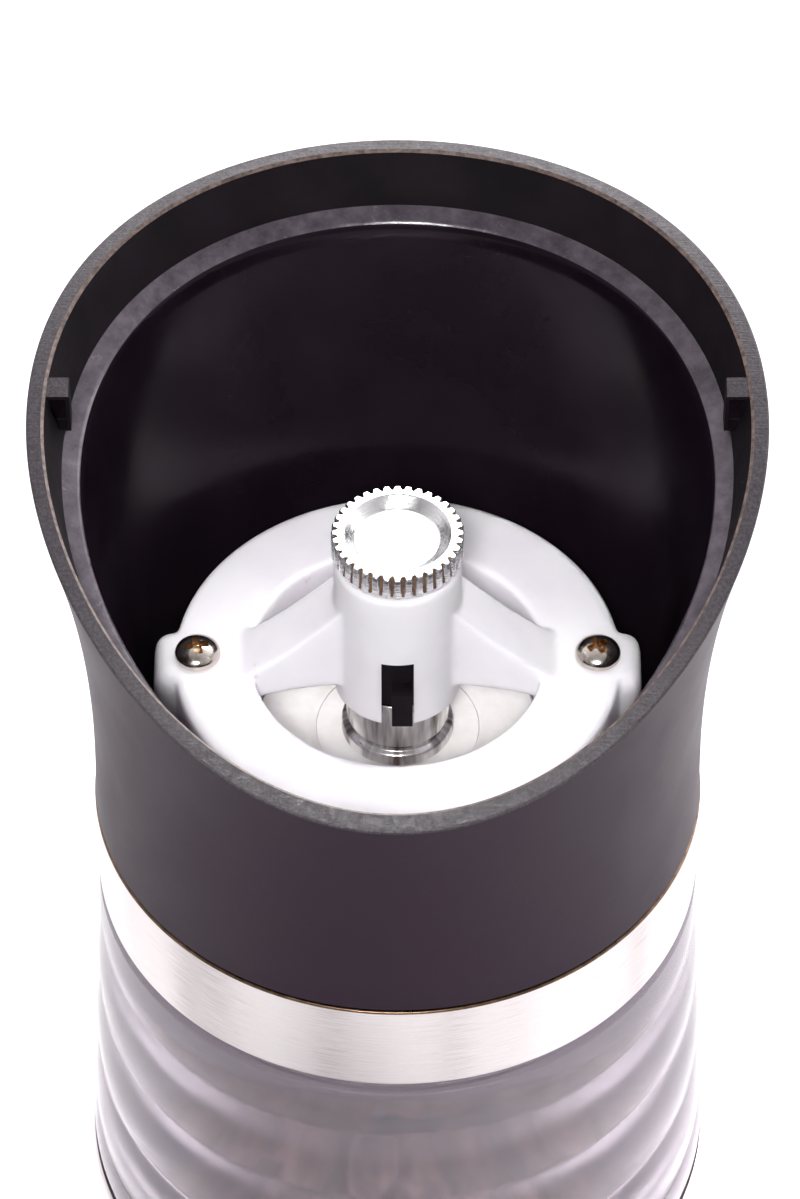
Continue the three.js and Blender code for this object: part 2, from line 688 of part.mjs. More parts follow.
function thrustWasher() {
  return ring(WASHER_BORE_R, WASHER_R, STATOR_Z - GAP - WASHER_HEIGHT, STATOR_Z - GAP);
}

class SpringPath extends THREE.Curve {
  getPoint(share, target = new THREE.Vector3()) {
    const angle = share * SPRING_TURNS * FULL_TURN;
    const height = SPRING_FOOT + share * (SPRING_HEAD - SPRING_FOOT);
    return target.set(SPRING_COIL_R * Math.cos(angle), SPRING_COIL_R * Math.sin(angle), height);
  }
}

function rotorSpring() {
  const wire = new THREE.Shape().absarc(0, 0, SPRING_WIRE_R, 0, FULL_TURN);
  return new THREE.ExtrudeGeometry(wire, {
    steps: 42,
    curveSegments: 3,
    bevelEnabled: false,
    extrudePath: new SpringPath(),
  });
}

// Sleeve with a key in the hub's slot: it slides and doesn't turn.
// It rests on the spindle collar, and the knob's stem screws into it.

function keySleeve() {
  const bottom = COLLAR_BODY_TOP + GAP;
  const seat = JOURNAL_TOP + 0.5;
  const sleeve = lathe([
    [JOURNAL_R + GAP, bottom],
    [HUB_BORE_R - GAP, bottom],
    [HUB_BORE_R - GAP, SLEEVE_TOP],
    [STEM_R + GAP, SLEEVE_TOP],
    [STEM_R + GAP, seat],
    [JOURNAL_R + GAP, seat],
  ]);
  const root = box(KEY_WIDTH, KEY_FRONT_Y - KEY_ROOT_Y, bottom, KEY_TOP)
    .translate(KEY_X, -(KEY_FRONT_Y + KEY_ROOT_Y) / 2, 0);
  const tip = box(KEY_WIDTH, KEY_FRONT_Y - KEY_TIP_Y, KEY_FOOT, KEY_TOP)
    .translate(KEY_X, -(KEY_FRONT_Y + KEY_TIP_Y) / 2, 0);
  return carve(sleeve, [root, tip], []);
}

// Knob with a dished top, and the stem that the sleeve's thread runs on

function knobHeadOutline(angle) {
  const knurl = KNURL_DEPTH * (1 + Math.cos(KNURL_COUNT * angle)) / 2;
  const top = KNOB_Z + KNOB_HEIGHT;
  return [
    [0, KNOB_Z],
    [KNOB_R - 0.6, KNOB_Z],
    [KNOB_R - knurl, KNOB_Z + 0.4],
    [KNOB_R - knurl, top - 0.4],
    [KNOB_R - 0.6, top],
    [KNOB_R * 0.8, top],
    [KNOB_R * 0.64, top - 1],
    [0, top - 1],
  ];
}

function adjustingKnob() {
  const stem = lathe([
    [0, HUB_Z + 4],
    [STEM_R, HUB_Z + 4],
    [STEM_R, STEM_STEP],
    [STEM_NECK_R, STEM_STEP],
    [STEM_NECK_R, KNOB_Z + 1],
    [0, KNOB_Z + 1],
  ], SLIM);
  return carve(turned(knobHeadOutline, 2 * KNURL_COUNT), [stem], []);
}

function knobClip() {
  const top = HUB_TOP - HUB_ROOF - GAP;
  const clip = ring(KNOB_CLIP_BORE_R, KNOB_CLIP_R, top - KNOB_CLIP_HEIGHT, top);
  const mouth = box(2, KNOB_CLIP_R, top - 2, top + 1).translate(0, 0.6 - KNOB_CLIP_R, 0);
  return carve(clip, [], [mouth]);
}

// Assembly

addPart('foot_pad', disc(FOOT_R, 0, FOOT_HEIGHT, WIDE), rubber);
addPart('base_plate', basePlate(), softBlack);
addPart('base_shell', baseShell(), softBlack);
addPart('base_band', baseBand(), brushedSteel);
addPart('shaft_socket', shaftSocket(), whitePlastic);
addPart('socket_screw', panScrew(), brightSteel);
atBaseScrews(panScrew).forEach((screw, index) => {
  addPart(`base_screw_${index + 1}`, screw, brightSteel);
});
addPart('turn_collar', turnCollar(), softBlack);
addPart('collar_clip', collarClip(), brightSteel);
addPart('grip_ring', gripRing(), rubber);
addPart('chamber_tube', chamberTube(), clearPlastic);
addPart('band_gasket', bandGasket(), rubber);
addPart('steel_band', steelBand(), brushedSteel);
addPart('skirt_liner', skirtLiner(), glossBlack);
addPart('skirt_shell', skirtShell(), softBlack);
addPart('mechanism_frame', mechanismFrame(), whitePlastic);
addPart('burr_cup', burrCup(), whitePlastic);
addPart('stator_burr', turned(statorOutline, BURR_FACETS), ceramic);
addPart('frame_screw_left', frameScrew(-1), brightSteel);
addPart('frame_screw_right', frameScrew(1), brightSteel);
addPart('spring_seat', springSeat(), brightSteel);
addPart('rotor_spring', rotorSpring(), brightSteel);
addPart('key_sleeve', keySleeve(), softBlack);
addPart('adjusting_knob', adjustingKnob(), aluminium);
addPart('knob_clip', knobClip(), brightSteel);
addPart('rotor_burr', rotorBurr(), ceramic);
addPart('spindle_collar', spindleCollar(), aluminium);
addPart('drive_shaft', driveShaft(), brightSteel);
addPart('thrust_washer', thrustWasher(), brightSteel);

export default pepperMill;
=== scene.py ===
"""The pepper mill's looks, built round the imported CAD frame. Blender metres, +Z up.

Outlines are written in millimetres as (radius, height) and turned about Z. Heights and radii
come from the CAD nodes; the skirt's curves repeat the CAD model's formulas.
"""
import math
import random

import bmesh
import bpy
from mathutils import Matrix, Vector, noise


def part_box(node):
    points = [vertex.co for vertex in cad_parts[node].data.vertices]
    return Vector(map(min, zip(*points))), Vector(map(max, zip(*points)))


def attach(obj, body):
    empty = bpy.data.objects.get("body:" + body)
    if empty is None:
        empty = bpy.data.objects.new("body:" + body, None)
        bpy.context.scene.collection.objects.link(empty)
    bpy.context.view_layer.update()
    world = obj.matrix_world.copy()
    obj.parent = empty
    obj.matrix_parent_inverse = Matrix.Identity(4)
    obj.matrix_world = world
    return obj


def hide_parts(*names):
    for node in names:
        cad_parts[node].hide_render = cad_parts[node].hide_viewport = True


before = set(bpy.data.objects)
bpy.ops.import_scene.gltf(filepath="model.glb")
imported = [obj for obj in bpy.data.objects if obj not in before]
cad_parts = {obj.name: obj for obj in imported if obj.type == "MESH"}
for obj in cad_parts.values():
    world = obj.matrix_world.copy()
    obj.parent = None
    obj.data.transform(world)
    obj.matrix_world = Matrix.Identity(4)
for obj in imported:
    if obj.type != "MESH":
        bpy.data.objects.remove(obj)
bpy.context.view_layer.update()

MM = 0.001
FULL_TURN = 2 * math.pi
SHARP_ANGLE = math.radians(38)
random.seed(7)


# ---------------------------------------------------------------- sizes from the frame

def low(node):
    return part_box(node)[0] / MM


def high(node):
    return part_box(node)[1] / MM


BAND_R = high("steel_band").x
BAND_TOP = high("steel_band").z + 0.2
BAND_FOOT = low("steel_band").z
HUB_TOP = high("mechanism_frame").z
RING_TOP = HUB_TOP - 13.1      # the hub stands this far over the ring
HUB_FOOT = RING_TOP - 3.2      # and reaches this far under the ring's top
KNOB_FOOT = HUB_TOP + 0.1
KNOB_TOP = high("adjusting_knob").z
KNOB_R = high("adjusting_knob").x
SCREW_X = (low("frame_screw_right").x + high("frame_screw_right").x) / 2
CHAMBER_TOP = BAND_FOOT - 0.3
REBATE_R = 28.2                # the gasket lies in a rebate at the chamber's top
REBATE_Z = low("band_gasket").z - 0.25
CHAMBER_FOOT = low("chamber_tube").z
BASE_TOP = high("base_band").z
BASE_R = high("base_band").x

# The skirt's flare and its curved, slanted rim
WAIST_R = 28.7
FLARE_START = BAND_TOP + 8
FLARE_HEIGHT = 42
FLARE_BEND = 4.7
FLARE_TIP = 2
RIM_SIDE_Z = BAND_TOP + 43.6
RIM_SLOPE = 0.383
RIM_SAG = 0.00648
RIM_TIP = 0.00002
SKIRT_WALL = 1.6

# The liner's ledge under the rim, and the pocket that holds the mechanism
LEDGE_DROP = 5.2
LEDGE_INSET = 3.2
LEDGE_SLOPE = 1.3
LEDGE_THICKNESS = 1.6
LINER_WALL = 1.6
LINER_BULGE = 0.9
POCKET_R = 23.5

# A lug stands on the wall's inside at each side
LUG_FRONT_Y = 5.6
LUG_BACK_Y = 7.4
LUG_INNER_X = 29.6
LUG_ROOT_FOOT_X = 30.9
LUG_ROOT_TOP_X = 32.3
LUG_DROP = 0.3


# ---------------------------------------------------------------- mesh helpers

def curve(start, knee, end, steps):
    """Points of a quadratic curve from start to end, both ends kept."""
    points = []
    for step in range(steps + 1):
        share = step / steps
        points.append(start * (1 - share) ** 2 + knee * 2 * share * (1 - share) + end * share ** 2)
    return points


def rounded(corners, steps=4):
    """Closed outline of (r, z, fillet) corners with each fillet drawn as a short curve."""
    outline = []
    count = len(corners)
    for index, (r, z, fillet) in enumerate(corners):
        here = Vector((r, z))
        if fillet == 0:
            outline.append((r, z))
            continue
        before = Vector(corners[index - 1][:2]) - here
        after = Vector(corners[(index + 1) % count][:2]) - here
        reach = min(fillet, before.length * 0.48, after.length * 0.48)
        start = here + before.normalized() * reach
        end = here + after.normalized() * reach
        outline += [(point.x, point.y) for point in curve(start, here, end, steps)]
    return outline


def revolved(outline_at, facets):
    """Vertices in millimetres and faces of an outline turned about Z.

    The outline goes anticlockwise. It closes on itself, or starts and ends on the axis.
    """
    first = outline_at(0)
    poles = first[0][0] < 1e-6
    vertices = []
    faces = []
    rows = []
    for facet in range(facets):
        angle = facet / facets * FULL_TURN
        outline = outline_at(angle)
        row = []
        for index, (r, z) in enumerate(outline):
            if poles and index in (0, len(outline) - 1) and facet > 0:
                row.append(rows[0][index])
                continue
            row.append(len(vertices))
            vertices.append((r * math.cos(angle), r * math.sin(angle), z))
        rows.append(row)
    for facet in range(facets):
        here = rows[facet]
        there = rows[(facet + 1) % facets]
        spans = len(here) - 1 if poles else len(here)
        for index in range(spans):
            following = (index + 1) % len(here)
            corners = [here[index], there[index], there[following], here[following]]
            face = [c for k, c in enumerate(corners) if c not in corners[:k]]
            faces.append(face)
    return vertices, faces


def prism_faces(count):
    """Faces between two rows of count vertices, with both ends closed."""
    faces = [list(range(count)), list(range(2 * count - 1, count - 1, -1))]
    for index in range(count):
        following = (index + 1) % count
        faces.append([following, index, count + index, count + following])
    return faces


def linked(name, data):
    shaped = bpy.data.objects.new(name, data)
    bpy.context.scene.collection.objects.link(shaped)
    return shaped


def from_work(name, work):
    """An object with the bmesh's faces. The bmesh is freed."""
    mesh = bpy.data.meshes.new(name)
    work.to_mesh(mesh)
    work.free()
    return linked(name, mesh)


def new_object(name, vertices, faces, scale=MM):
    mesh = bpy.data.meshes.new(name)
    mesh.from_pydata([tuple(c * scale for c in v) for v in vertices], [], faces)
    mesh.update()
    shaped = linked(name, mesh)
    face_out(mesh)
    return shaped


def face_out(mesh):
    work = bmesh.new()
    work.from_mesh(mesh)
    bmesh.ops.recalc_face_normals(work, faces=work.faces)
    if work.calc_volume(signed=True) < 0:
        bmesh.ops.reverse_faces(work, faces=work.faces)
    work.to_mesh(mesh)
    work.free()


def smooth(shaped, angle=SHARP_ANGLE):
    mesh = shaped.data
    mesh.shade_smooth()
    mesh.set_sharp_from_angle(angle=angle)


def turned(name, outline, facets=192):
    outline_at = outline if callable(outline) else (lambda angle: outline)
    vertices, faces = revolved(outline_at, facets)
    return new_object(name, vertices, faces)


def block(name, size, centre, bevel=0.0, segments=4):
    """A box in millimetres with bevelled edges."""
    work = bmesh.new()
    bmesh.ops.create_cube(work, size=1)
    for vertex in work.verts:
        vertex.co = Vector([vertex.co[k] * size[k] + centre[k] for k in range(3)])
    if bevel:
        bmesh.ops.bevel(
            work, geom=work.edges[:], offset=bevel, segments=segments, affect="EDGES", profile=0.5,
        )
    bmesh.ops.scale(work, vec=(MM, MM, MM), verts=work.verts)
    return from_work(name, work)


def freeze(shaped):
    """Turns the object's modifiers into plain mesh."""
    graph = bpy.context.evaluated_depsgraph_get()
    mesh = bpy.data.meshes.new_from_object(shaped.evaluated_get(graph))
    old = shaped.data
    shaped.modifiers.clear()
    shaped.data = mesh
    bpy.data.meshes.remove(old)


def discard(shaped):
    mesh = shaped.data
    bpy.data.objects.remove(shaped)
    bpy.data.meshes.remove(mesh)


def cut(shaped, tools, operation="DIFFERENCE"):
    """Takes the tools off the piece, or joins them to it, and discards them."""
    for tool in tools:
        modifier = shaped.modifiers.new("cut", "BOOLEAN")
        modifier.operation = operation
        modifier.solver = "EXACT"
        modifier.object = tool
    freeze(shaped)
    for tool in tools:
        discard(tool)


def merged(name, pieces):
    """One object that holds the meshes of all the pieces."""
    work = bmesh.new()
    for piece in pieces:
        work.from_mesh(piece.data)
        discard(piece)
    return from_work(name, work)


def moulded(shaped, voxel, relax):
    """Fuses overlapping solids into one skin and softens their edges like a moulding."""
    remesh = shaped.modifiers.new("fuse", "REMESH")
    remesh.mode = "VOXEL"
    remesh.voxel_size = voxel * MM
    soften = shaped.modifiers.new("soften", "SMOOTH")
    soften.factor = 0.5
    soften.iterations = relax
    freeze(shaped)


def dress(shaped, body, looks, replaced):
    """Gives the piece its body and materials in place of the CAD nodes."""
    polygons = shaped.data.polygons
    painted = [polygon.material_index for polygon in polygons]
    shaped.data.materials.clear()        # this also sets every face's material index to 0
    for look in looks:
        shaped.data.materials.append(look)
    polygons.foreach_set("material_index", painted)
    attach(shaped, body)
    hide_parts(*replaced)


# ---------------------------------------------------------------- material helpers

class Look:
    """A material with a Principled shader and short calls for the nodes before it."""

    def __init__(self, name, color, roughness, metallic=0.0):
        self.material = bpy.data.materials.new(name)
        self.material.use_nodes = True
        self.nodes = self.material.node_tree.nodes
        self.links = self.material.node_tree.links
        self.shader = self.nodes["Principled BSDF"]
        self.set("Base Color", (*color, 1))
        self.set("Roughness", roughness)
        self.set("Metallic", metallic)
        self.coordinates = self.nodes.new("ShaderNodeTexCoord").outputs["Object"]

    def set(self, socket, value):
        self.shader.inputs[socket].default_value = value

    def link(self, source, target):
        self.links.new(source, target)

    def math(self, operation, first, second=0.0):
        node = self.nodes.new("ShaderNodeMath")
        node.operation = operation
        for socket, value in zip(node.inputs, (first, second)):
            if isinstance(value, (int, float)):
                socket.default_value = value
            else:
                self.link(value, socket)
        return node.outputs[0]

    def axes(self):
        """The object's x, y and z as sockets."""
        split = self.nodes.new("ShaderNodeSeparateXYZ")
        self.link(self.coordinates, split.inputs[0])
        return split.outputs

    def joined(self, x, y, z):
        join = self.nodes.new("ShaderNodeCombineXYZ")
        for socket, value in zip(join.inputs, (x, y, z)):
            if isinstance(value, (int, float)):
                socket.default_value = value
            else:
                self.link(value, socket)
        return join.outputs[0]

    def scaled(self, x, y, z):
        mapping = self.nodes.new("ShaderNodeMapping")
        mapping.inputs["Scale"].default_value = (x, y, z)
        self.link(self.coordinates, mapping.inputs["Vector"])
        return mapping.outputs[0]

    def noise(self, scale, detail=3.0, roughness=0.55, vector=None):
        node = self.nodes.new("ShaderNodeTexNoise")
        node.inputs["Scale"].default_value = scale
        node.inputs["Detail"].default_value = detail
        node.inputs["Roughness"].default_value = roughness
        self.link(vector or self.coordinates, node.inputs["Vector"])
        return node.outputs["Fac"]

    def cells(self, scale):
        node = self.nodes.new("ShaderNodeTexVoronoi")
        node.inputs["Scale"].default_value = scale
        self.link(self.coordinates, node.inputs["Vector"])
        return node.outputs["Distance"]

    def ramp(self, factor, stops):
        node = self.nodes.new("ShaderNodeValToRGB")
        elements = node.color_ramp.elements
        while len(elements) < len(stops):
            elements.new(0.5)
        for element, (position, color) in zip(elements, stops):
            element.position = position
            element.color = (*color, 1)
        self.link(factor, node.inputs["Fac"])
        return node.outputs["Color"]

    def range(self, factor, low_value, high_value, start=0.3, end=0.7):
        node = self.nodes.new("ShaderNodeMapRange")
        values = (start, end, low_value, high_value)
        for socket, value in zip(("From Min", "From Max", "To Min", "To Max"), values):
            node.inputs[socket].default_value = value
        self.link(factor, node.inputs["Value"])
        return node.outputs["Result"]

    def radius(self, x, y):
        squares = [self.math("POWER", axis, 2) for axis in (x, y)]
        return self.math("SQRT", self.math("ADD", *squares))

    def color(self, factor, stops):
        self.link(self.ramp(factor, stops), self.shader.inputs["Base Color"])

    def dust(self, radius_mm, reach_mm, patches, color):
        """Stains the base colour beside a radius, where the patches are high."""
        x, y, _ = self.axes()
        off = self.math("ABSOLUTE", self.math("SUBTRACT", self.radius(x, y), radius_mm * MM))
        near = self.range(off, 1, 0, 0, reach_mm * MM)
        mask = self.math("MULTIPLY", near, self.range(patches, 0, 0.7, 0.58, 0.70))
        mix = self.nodes.new("ShaderNodeMix")
        mix.data_type = "RGBA"           # inputs 6 and 7 and output 2 are its colour sockets
        base = self.shader.inputs["Base Color"]
        self.link(mask, mix.inputs[0])
        self.link(base.links[0].from_socket, mix.inputs[6])
        mix.inputs[7].default_value = (*color, 1)
        self.link(mix.outputs[2], base)

    def roughness(self, factor, low_value, high_value):
        self.link(self.range(factor, low_value, high_value), self.shader.inputs["Roughness"])

    def bump(self, *layers):
        """layers are (height, depth in millimetres) pairs, laid over each other."""
        normal = None
        for height, depth in layers:
            node = self.nodes.new("ShaderNodeBump")
            node.inputs["Strength"].default_value = 1.0
            node.inputs["Distance"].default_value = depth * MM
            self.link(height, node.inputs["Height"])
            if normal:
                self.link(normal, node.inputs["Normal"])
            normal = node.outputs["Normal"]
        self.link(normal, self.shader.inputs["Normal"])

    def around(self, along, across):
        """Coordinates for streaks that run round the Z axis: angle, height and radius."""
        x, y, z = self.axes()
        angle = self.math("ARCTAN2", y, x)
        radius = self.radius(x, y)
        turn = self.math("MULTIPLY", angle, along)
        height = self.math("MULTIPLY", z, across)
        return self.joined(turn, height, self.math("MULTIPLY", radius, across))


def soft_black_look():
    look = Look("soft_touch_black", (0.02, 0.013, 0.02), 0.5)
    grain = look.noise(5200, 3, 0.6)
    cloud = look.noise(70, 4, 0.55)
    look.color(cloud, [(0.3, (0.0128, 0.0058, 0.0122)), (0.7, (0.0186, 0.0092, 0.0178))])
    look.roughness(cloud, 0.44, 0.56)
    look.bump((grain, 0.012), (look.noise(900, 2), 0.01))
    look.set("Specular IOR Level", 0.22)
    look.set("Specular Tint", (1.0, 0.80, 0.97, 1))
    look.set("Sheen Weight", 0.03)
    look.set("Sheen Roughness", 0.4)
    look.set("Sheen Tint", (1.0, 0.88, 0.96, 1))
    return look.material


def rim_look():
    look = Look("cut_rim_black", (0.09, 0.08, 0.088), 0.6)
    grain = look.noise(3800, 4, 0.7)
    look.color(grain, [(0.4, (0.014, 0.010, 0.014)), (0.64, (0.048, 0.038, 0.047))])
    look.roughness(look.noise(1400), 0.36, 0.58)
    lines = look.noise(1, 2, 0.5, look.scaled(300, 5200, 300))
    look.bump((grain, 0.035), (lines, 0.03))
    return look.material


# A lighter, glossier brown line along the rim's inner edge: a painted highlight.
def rim_edge_highlight_look():
    look = Look("rim_edge_brown_highlight", (0.20, 0.14, 0.12), 0.35)
    look.color(look.noise(1800, 3), [(0.35, (0.045, 0.030, 0.025)), (0.65, (0.16, 0.11, 0.095))])
    look.roughness(look.noise(900), 0.28, 0.45)
    look.bump((look.noise(2400, 2), 0.01))
    return look.material


# A matte black much darker than the outer soft black: painted shade for the skirt's inside and for
# the key sleeve in the hub's slot.
def shade_darkened_black_look():
    look = Look("matte_black_painted_shade", (0.006, 0.004, 0.006), 0.6)
    look.color(look.noise(160, 4), [(0.3, (0.0035, 0.0020, 0.0035)), (0.7, (0.0090, 0.0060, 0.0092))])
    look.bump((look.noise(2600, 3), 0.015))
    look.roughness(look.noise(260), 0.5, 0.7)
    look.set("Specular IOR Level", 0.16)
    return look.material


def gloss_black_look():
    look = Look("gloss_black", (0.007, 0.0045, 0.007), 0.14)
    smear = look.noise(90, 4, 0.6)
    look.color(smear, [(0.3, (0.0050, 0.0030, 0.0050)), (0.7, (0.0095, 0.0060, 0.0095))])
    look.roughness(smear, 0.12, 0.24)
    look.set("Specular IOR Level", 0.2)
    look.set("Specular Tint", (1.0, 0.82, 0.96, 1))
    look.bump((look.noise(45, 2), 0.10), (look.noise(1500, 2), 0.002))
    return look.material


# The ledge's upward faces are painted a much lighter, mottled grey than the gloss cone: painted light
# from above.
def ledge_painted_light_look():
    look = Look("ledge_black_painted_light", (0.05, 0.045, 0.055), 0.3)
    painted_light_mottle = look.noise(420, 4, 0.65)
    look.color(painted_light_mottle, [(0.35, (0.034, 0.025, 0.036)), (0.7, (0.094, 0.076, 0.094))])
    look.roughness(look.noise(700), 0.16, 0.28)
    look.bump((look.noise(1800, 3, 0.7), 0.02), (look.noise(160, 2), 0.18))
    look.set("Specular IOR Level", 0.6)
    return look.material


def brushed_steel_look():
    look = Look("brushed_steel", (0.80, 0.755, 0.755), 0.3, 1.0)
    streaks = look.noise(1, 4, 0.65, look.around(7, 9000))
    fine = look.noise(1, 3, 0.7, look.around(26, 22000))
    # Broad light and dark stripes round the band are a painted reflection of the room and the mill's
    # shadow; the fine streaks are the brushing.
    painted_reflection_stripes = look.noise(1, 1, 0.5, look.around(2.4, 0))
    brushing_and_reflection = look.math("ADD", look.math("MULTIPLY", streaks, 0.35), look.math("MULTIPLY", painted_reflection_stripes, 0.65))
    look.color(brushing_and_reflection, [
        (0.36, (0.52, 0.475, 0.48)),
        (0.48, (0.78, 0.73, 0.73)),
        (0.62, (0.88, 0.84, 0.83)),
    ])
    look.roughness(fine, 0.26, 0.4)
    look.bump((streaks, 0.004), (fine, 0.003))
    look.set("Anisotropic", 0.55)
    return look.material


def bronze_edge_look():
    look = Look("bronze_edge", (0.16, 0.10, 0.06), 0.4, 1.0)
    look.color(look.noise(900, 3), [(0.3, (0.10, 0.062, 0.040)), (0.7, (0.22, 0.14, 0.09))])
    look.roughness(look.noise(500), 0.24, 0.4)
    look.bump((look.noise(3000, 2), 0.004))
    return look.material


def bright_steel_look():
    look = Look("bright_steel", (0.62, 0.55, 0.49), 0.16, 1.0)
    marks = look.noise(1300, 4, 0.6)
    look.color(marks, [(0.3, (0.52, 0.45, 0.39)), (0.7, (0.74, 0.69, 0.63))])
    look.roughness(marks, 0.10, 0.26)
    look.bump((marks, 0.006))
    return look.material


def aluminium_look():
    look = Look("turned_aluminium", (0.86, 0.86, 0.87), 0.22, 1.0)
    rings = look.noise(1, 3, 0.7, look.around(3, 9500))
    look.color(rings, [(0.3, (0.78, 0.78, 0.79)), (0.7, (0.93, 0.93, 0.93))])
    look.roughness(look.noise(800), 0.16, 0.32)
    lines = look.noise(1, 2, 0.6, look.around(2, 3600))
    look.bump((rings, 0.012), (lines, 0.03), (look.noise(4000, 3), 0.004))
    return look.material


def spindle_look():
    """Turned metal with dark and bright streaks along the spindle, painted into its colour as
    reflections.
    """
    look = Look("spindle_metal", (0.8, 0.79, 0.78), 0.2, 1.0)
    x, y, z = look.axes()
    turn = look.math("ARCTAN2", y, x)
    along = look.joined(look.math("MULTIPLY", turn, 2.3), look.math("MULTIPLY", z, 60), 0)
    streaks = look.noise(1, 3, 0.6, along)
    # The streaks' dark and bright colours are painted reflections.
    look.color(streaks, [
        (0.38, (0.16, 0.13, 0.12)),
        (0.5, (0.62, 0.60, 0.60)),
        (0.6, (0.95, 0.94, 0.94)),
    ])
    look.roughness(streaks, 0.3, 0.12)
    look.bump((look.noise(1, 3, 0.6, look.around(2, 5200)), 0.01))
    return look.material


# Dark brown for the knob's knurl grooves: painted shade.
def knurl_groove_shade_look():
    look = Look("knurl_groove_painted_shade", (0.10, 0.055, 0.03), 0.6)
    look.color(look.noise(1500, 4), [(0.3, (0.050, 0.026, 0.018)), (0.7, (0.20, 0.115, 0.065))])
    look.roughness(look.noise(1100), 0.45, 0.75)
    look.bump((look.noise(3600, 3), 0.03))
    return look.material


# A brown-gold metal for the screws' cross recesses: a painted reflection.
def recess_reflection_look():
    look = Look("screw_recess_painted_reflection", (0.42, 0.26, 0.14), 0.3, 1.0)
    look.color(look.noise(1600, 3), [(0.3, (0.13, 0.075, 0.045)), (0.7, (0.62, 0.42, 0.24))])
    look.roughness(look.noise(900), 0.22, 0.4)
    look.bump((look.noise(2600, 2), 0.01))
    return look.material


def white_plastic_look(dusty=False):
    """A translucent white moulding. The frame's has pepper dust at the ring's inner edge."""
    look = Look("white_frame_moulding" if dusty else "white_moulding", (0.86, 0.84, 0.87), 0.34)
    cloud = look.noise(120, 3)
    look.color(cloud, [(0.3, (0.84, 0.810, 0.860)), (0.7, (0.91, 0.895, 0.925))])
    if dusty:
        look.dust(13.5, 0.45, look.noise(300, 4, 0.65), (0.42, 0.30, 0.22))
    look.roughness(look.noise(500), 0.28, 0.42)
    look.bump((look.noise(2200, 3), 0.004), (look.noise(200, 2), 0.03))
    look.set("Subsurface Weight", 0.35)
    look.set("Subsurface Radius", (1.0, 0.9, 1.0))
    look.set("Subsurface Scale", 0.0022)
    return look.material


def ceramic_look():
    look = Look("ceramic", (0.8, 0.77, 0.75), 0.4)
    look.color(look.noise(300, 5, 0.7), [(0.3, (0.82, 0.79, 0.76)), (0.65, (0.92, 0.90, 0.89))])
    look.roughness(look.noise(700), 0.35, 0.6)
    look.bump((look.noise(2600, 4), 0.01))
    return look.material


def clear_plastic_look():
    """A clear moulding with a lilac haze from handling and pepper dust."""
    look = Look("clear_moulding", (0.80, 0.74, 0.86), 0.16)
    look.color(look.noise(55, 4, 0.6), [(0.3, (0.80, 0.70, 0.81)), (0.7, (0.94, 0.87, 0.96))])
    look.set("Transmission Weight", 0.90)
    look.set("IOR", 1.45)
    look.roughness(look.noise(90, 3), 0.12, 0.22)
    look.bump((look.noise(50, 2), 0.10))
    return look.material


def rubber_look():
    look = Look("rubber", (0.012, 0.012, 0.013), 0.75)
    look.color(look.noise(400, 3), [(0.3, (0.009, 0.009, 0.010)), (0.7, (0.018, 0.017, 0.019))])
    look.bump((look.noise(3000, 3), 0.012))
    look.roughness(look.noise(900), 0.65, 0.85)
    return look.material


def pepper_look():
    look = Look("peppercorns", (0.06, 0.035, 0.022), 0.6)
    look.color(look.noise(230, 3, 0.6), [
        (0.25, (0.045, 0.029, 0.020)),
        (0.5, (0.27, 0.175, 0.105)),
        (0.75, (0.72, 0.55, 0.38)),
    ])
    look.roughness(look.noise(2000), 0.45, 0.8)
    look.bump((look.cells(1400), 0.12), (look.noise(3000, 3), 0.05))
    return look.material


def floor_look():
    look = Look("studio_floor", (0.93, 0.93, 0.93), 0.8)
    look.color(look.noise(3, 2), [(0.3, (0.925, 0.92, 0.925)), (0.7, (0.94, 0.935, 0.94))])
    look.bump((look.noise(600, 2), 0.02))
    look.roughness(look.noise(40), 0.75, 0.9)
    return look.material


SOFT_BLACK = soft_black_look()
RIM_BLACK = rim_look()
RIM_EDGE_HIGHLIGHT = rim_edge_highlight_look()
SHADE_DARKENED_BLACK = shade_darkened_black_look()
GLOSS_BLACK = gloss_black_look()
LEDGE_PAINTED_LIGHT = ledge_painted_light_look()
BRUSHED_STEEL = brushed_steel_look()
BRONZE_EDGE = bronze_edge_look()
BRIGHT_STEEL = bright_steel_look()
ALUMINIUM = aluminium_look()
SPINDLE_METAL = spindle_look()
KNURL_GROOVE_SHADE = knurl_groove_shade_look()
RECESS_PAINTED_REFLECTION = recess_reflection_look()
WHITE_PLASTIC = white_plastic_look()
DUSTY_PLASTIC = white_plastic_look(True)
CERAMIC = ceramic_look()
CLEAR_PLASTIC = clear_plastic_look()
RUBBER = rubber_look()
PEPPER = pepper_look()


# ---------------------------------------------------------------- skirt

def skirt_radius(height):
    rise = max(0.0, (height - FLARE_START) / FLARE_HEIGHT)
    return WAIST_R + FLARE_BEND * rise ** 2 + FLARE_TIP * rise ** 3


def rim_height(y):
    return RIM_SIDE_Z + RIM_SLOPE * y - RIM_SAG * y ** 2 + RIM_TIP * y ** 3


def wall_point(angle, inset, drop):
    """The point of a wall inset from the skirt's outside, drop below the slanted rim."""
    height = RIM_SIDE_Z
    for _ in range(30):
        y = (skirt_radius(height) - inset) * math.sin(angle)
        height = rim_height(y) - drop
    return skirt_radius(height) - inset, height


def run_between(start, end, steps, radius_at):
    """Points between two (r, z) ends, ends left out."""
    points = []
    for step in range(1, steps):
        share = step / steps
        height = start[1] + share * (end[1] - start[1])
        points.append((radius_at(height, share), height))
    return points


RIM_FILLET = 0.22
OUTER_STEPS = 26
INNER_STEPS = 16

# Places of the shell's materials after the first one
RIM_FACE, INSIDE_PAINTED_SHADE, RIM_INNER_EDGE_HIGHLIGHT, HOLLOW_PAINTED_SHADE = 1, 2, 3, 4


